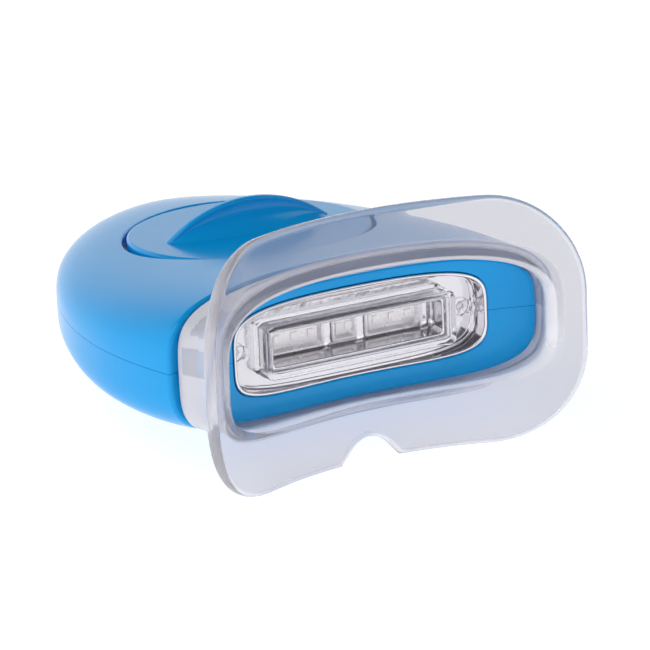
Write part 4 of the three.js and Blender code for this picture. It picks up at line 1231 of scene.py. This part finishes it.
class WHITENING_OT_lamp(Operator):
    """Makes the reflector tray, the lens cover and the emitters"""

    bl_idname = "whitening.lamp"
    bl_label = "Light unit"

    def execute(self, context):
        scene = context.scene
        lamp, finishes = scene.whitening_lamp, scene.whitening_finishes
        tray = tray_form(lamp, scene.whitening_body)
        silver = silver_plating(finishes)
        finished(tray, "reflector_tray_plated", "housing", "silver_plating", silver, "reflector_tray")
        clear = clear_plastic(finishes, "lens moulding", finishes.lens, finishes.lens_milk)
        finished(lens_form(lamp), "lens_cover_moulding", "housing", "lens_plastic", clear, "lens_cover")
        resin = emitter_resin(finishes)
        for node, middle, half_width, half_height in emitter_places(lamp):
            piece = emitter_form(lamp, middle, half_width, half_height)
            finished(piece, node + "_package", "housing", "emitter", resin, node)
        return {"FINISHED"}


class WHITENING_OT_insides(Operator):
    """Gives the pieces inside the body their finishes"""

    bl_idname = "whitening.insides"
    bl_label = "Insides"

    def execute(self, context):
        steel, board = plated_steel(), circuit_board()
        black = moulded("black moulding", (0.008, 0.008, 0.009), (0.016, 0.016, 0.018), 0.5, 1500.0)
        rubber = moulded("black rubber", (0.01, 0.01, 0.011), (0.02, 0.02, 0.02), 0.8, 900.0)
        white = moulded("white moulding", (0.74, 0.74, 0.72), (0.8, 0.8, 0.79), 0.45, 1100.0)
        red = moulded("red insulation", (0.36, 0.012, 0.008), (0.45, 0.02, 0.012), 0.45, 700.0)
        finishes = {
            steel: ("cap_contact_plate", "battery_cell_upper", "battery_cell_lower", "positive_contact",
                    "negative_contact", "shell_screw_1", "shell_screw_2", "shell_screw_3", "shell_screw_4"),
            board: ("led_board", "control_board"),
            black: ("timer_chip", "buzzer", "led_wire_black", "battery_wire_black"),
            rubber: ("cap_seal_ring",),
            white: ("battery_tray",),
            red: ("led_wire_red", "battery_wire_red"),
        }
        for material, nodes in finishes.items():
            for node in nodes:
                paint(node, material)
        return {"FINISHED"}


class WHITENING_OT_studio(Operator):
    """Makes the floor, the lights and the camera"""

    bl_idname = "whitening.studio"
    bl_label = "Studio"

    def execute(self, context):
        scene = context.scene
        studio = scene.whitening_studio
        place = row_matrix(scene.whitening_cap)
        self.floor(studio)
        self.room(scene, studio)
        self.camera(scene, studio, place)
        for name, where, size, strength, tint in (
            ("left softbox", (-0.62, 0.1, 0.82), (0.75, 0.75), 2.55, (1.0, 1.0, 1.0)),
            ("right softbox", (0.75, -0.1, 0.8), (0.4, 0.4), 1.5, (1.0, 1.0, 1.0)),
            ("front softbox", (0.15, -1.0, 0.45), (0.9, 0.5), 0.35, (0.96, 0.97, 1.0)),
            ("strip softbox", (-0.75, -0.7, 0.35), (0.1, 0.7), 1.6, (1.0, 1.0, 1.0)),
        ):
            self.softbox(scene, name, Vector(where), size, strength, tint)
        return {"FINISHED"}

    def floor(self, studio):
        """A wide pale sheet under the object. Beyond its flat radius it rises out of view: by the square of
        the way beyond, times a steepness."""
        radius = np.concatenate([np.linspace(0.02, 1.2, 30), np.linspace(1.3, 2.6, 30)])
        flat_radius, steepness = 1.6, 1.3
        rise = np.where(radius > flat_radius, steepness * (radius - flat_radius) ** 2, 0)
        rings = turned_grid(np.stack([radius, rise], -1), 96)
        points = np.concatenate([rings.reshape(-1, 3), [[0, 0, 0]]])
        mesh = bpy.data.meshes.new("floor")
        hub = fan_faces(0, rings.shape[1], len(points) - 1)[:, ::-1]
        faces = grid_faces(*rings.shape[:2]).tolist() + hub.tolist()
        mesh.from_pydata(points.tolist(), [], faces)
        sheet = bpy.data.objects.new("floor", mesh)
        bpy.context.scene.collection.objects.link(sheet)
        tree = Tree("floor", roughness=0.9, specular_ior_level=0.1, emission_strength=studio.glow)
        fibre = tree.noise(30.0, 3.0)
        pale = Vector(studio.floor)
        tree.shader.inputs["Emission Color"].default_value = (1.0, 1.0, 1.0, 1.0)
        mesh.materials.append(tree.finish(base_color=tree.mixed(fibre, pale * 0.99, pale)))
        mesh.shade_smooth()

    def room(self, scene, studio):
        """An even room light."""
        world = bpy.data.worlds.new("room")
        world.use_nodes = True
        background = world.node_tree.nodes["Background"]
        background.inputs["Color"].default_value = (1.0, 1.0, 1.0, 1.0)
        background.inputs["Strength"].default_value = studio.world
        scene.world = world
        scene.view_settings.view_transform = "Standard"

    def softbox(self, scene, name, where, size, strength, tint):
        """A rectangular light aimed at the object. Its power gives its face an even brightness: the
        strength times pi times its area."""
        data = bpy.data.lights.new(name, "AREA")
        data.shape = "RECTANGLE"
        data.size, data.size_y = size
        data.energy = strength * math.pi * size[0] * size[1]
        data.color = tint
        light = bpy.data.objects.new(name, data)
        light.location = where
        light.rotation_euler = (Vector((0, 0, 0.02)) - where).to_track_quat("-Z", "Y").to_euler()
        scene.collection.objects.link(light)

    def camera(self, scene, studio, place):
        """A camera on the ray that azimuth and elevation give in the body's own frame."""
        swing, tilt, roll = studio.azimuth, studio.elevation, studio.roll
        back = Vector((math.sin(swing) * math.cos(tilt), -math.cos(swing) * math.cos(tilt), math.sin(tilt)))
        right = Vector((math.cos(swing), math.sin(swing), 0))
        up = back.cross(right)
        middle = right * studio.target_across + Vector((0, 0, studio.target_up))
        sideways = right * math.cos(roll) + up * math.sin(roll)
        upward = up * math.cos(roll) - right * math.sin(roll)
        matrix = Matrix((sideways, upward, back)).transposed().to_4x4()
        matrix.translation = middle + back * studio.distance
        data = bpy.data.cameras.new("camera")
        data.sensor_width = 36.0
        data.lens = studio.focal * data.sensor_width
        data.clip_start, data.clip_end = 0.01, 20.0
        camera = bpy.data.objects.new("camera", data)
        camera.matrix_world = place @ matrix
        scene.collection.objects.link(camera)
        scene.camera = camera


class WHITENING_PT_panel(Panel):
    """Lists the sizes, the finishes and the steps"""

    bl_idname = "WHITENING_PT_panel"
    bl_label = "Whitening light"
    bl_space_type = "VIEW_3D"
    bl_region_type = "UI"
    bl_category = "Whitening light"

    def draw(self, context):
        for name, label, operator in STEPS:
            box = self.layout.box()
            box.label(text=label)
            if name:
                group = getattr(context.scene, name)
                for key in GROUPS[name].__annotations__:
                    box.prop(group, key, text=key.replace("_", " ").capitalize())
            if operator:
                box.operator(operator)


STEPS = (
    ("whitening_body", "Body", "whitening.shells"),
    ("whitening_cap", "Turn cap", "whitening.cap"),
    ("whitening_mouthpiece", "Mouthpiece", "whitening.mouthpiece"),
    ("whitening_lamp", "Light unit", "whitening.lamp"),
    ("", "Insides", "whitening.insides"),
    ("whitening_finishes", "Finishes", ""),
    ("whitening_studio", "Studio", "whitening.studio"),
)
GROUPS = {
    "whitening_body": BodySizes,
    "whitening_cap": CapSizes,
    "whitening_mouthpiece": MouthpieceSizes,
    "whitening_lamp": LampSizes,
    "whitening_finishes": Finishes,
    "whitening_studio": StudioSettings,
}
CLASSES = (
    *GROUPS.values(),
    WHITENING_OT_shells,
    WHITENING_OT_cap,
    WHITENING_OT_mouthpiece,
    WHITENING_OT_lamp,
    WHITENING_OT_insides,
    WHITENING_OT_studio,
    WHITENING_PT_panel,
)


def register():
    """Registers the classes and gives each scene its sizes."""
    for item in CLASSES:
        bpy.utils.register_class(item)
    for name, group in GROUPS.items():
        setattr(bpy.types.Scene, name, PointerProperty(type=group))


def unregister():
    """Takes the sizes and the classes away again."""
    for name in GROUPS:
        delattr(bpy.types.Scene, name)
    for item in reversed(CLASSES):
        bpy.utils.unregister_class(item)


def main():
    """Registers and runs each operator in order."""
    register()
    for operator in ("shells", "cap", "mouthpiece", "lamp", "insides", "studio"):
        getattr(bpy.ops.whitening, operator)()


if __name__ == "__main__":
    main()
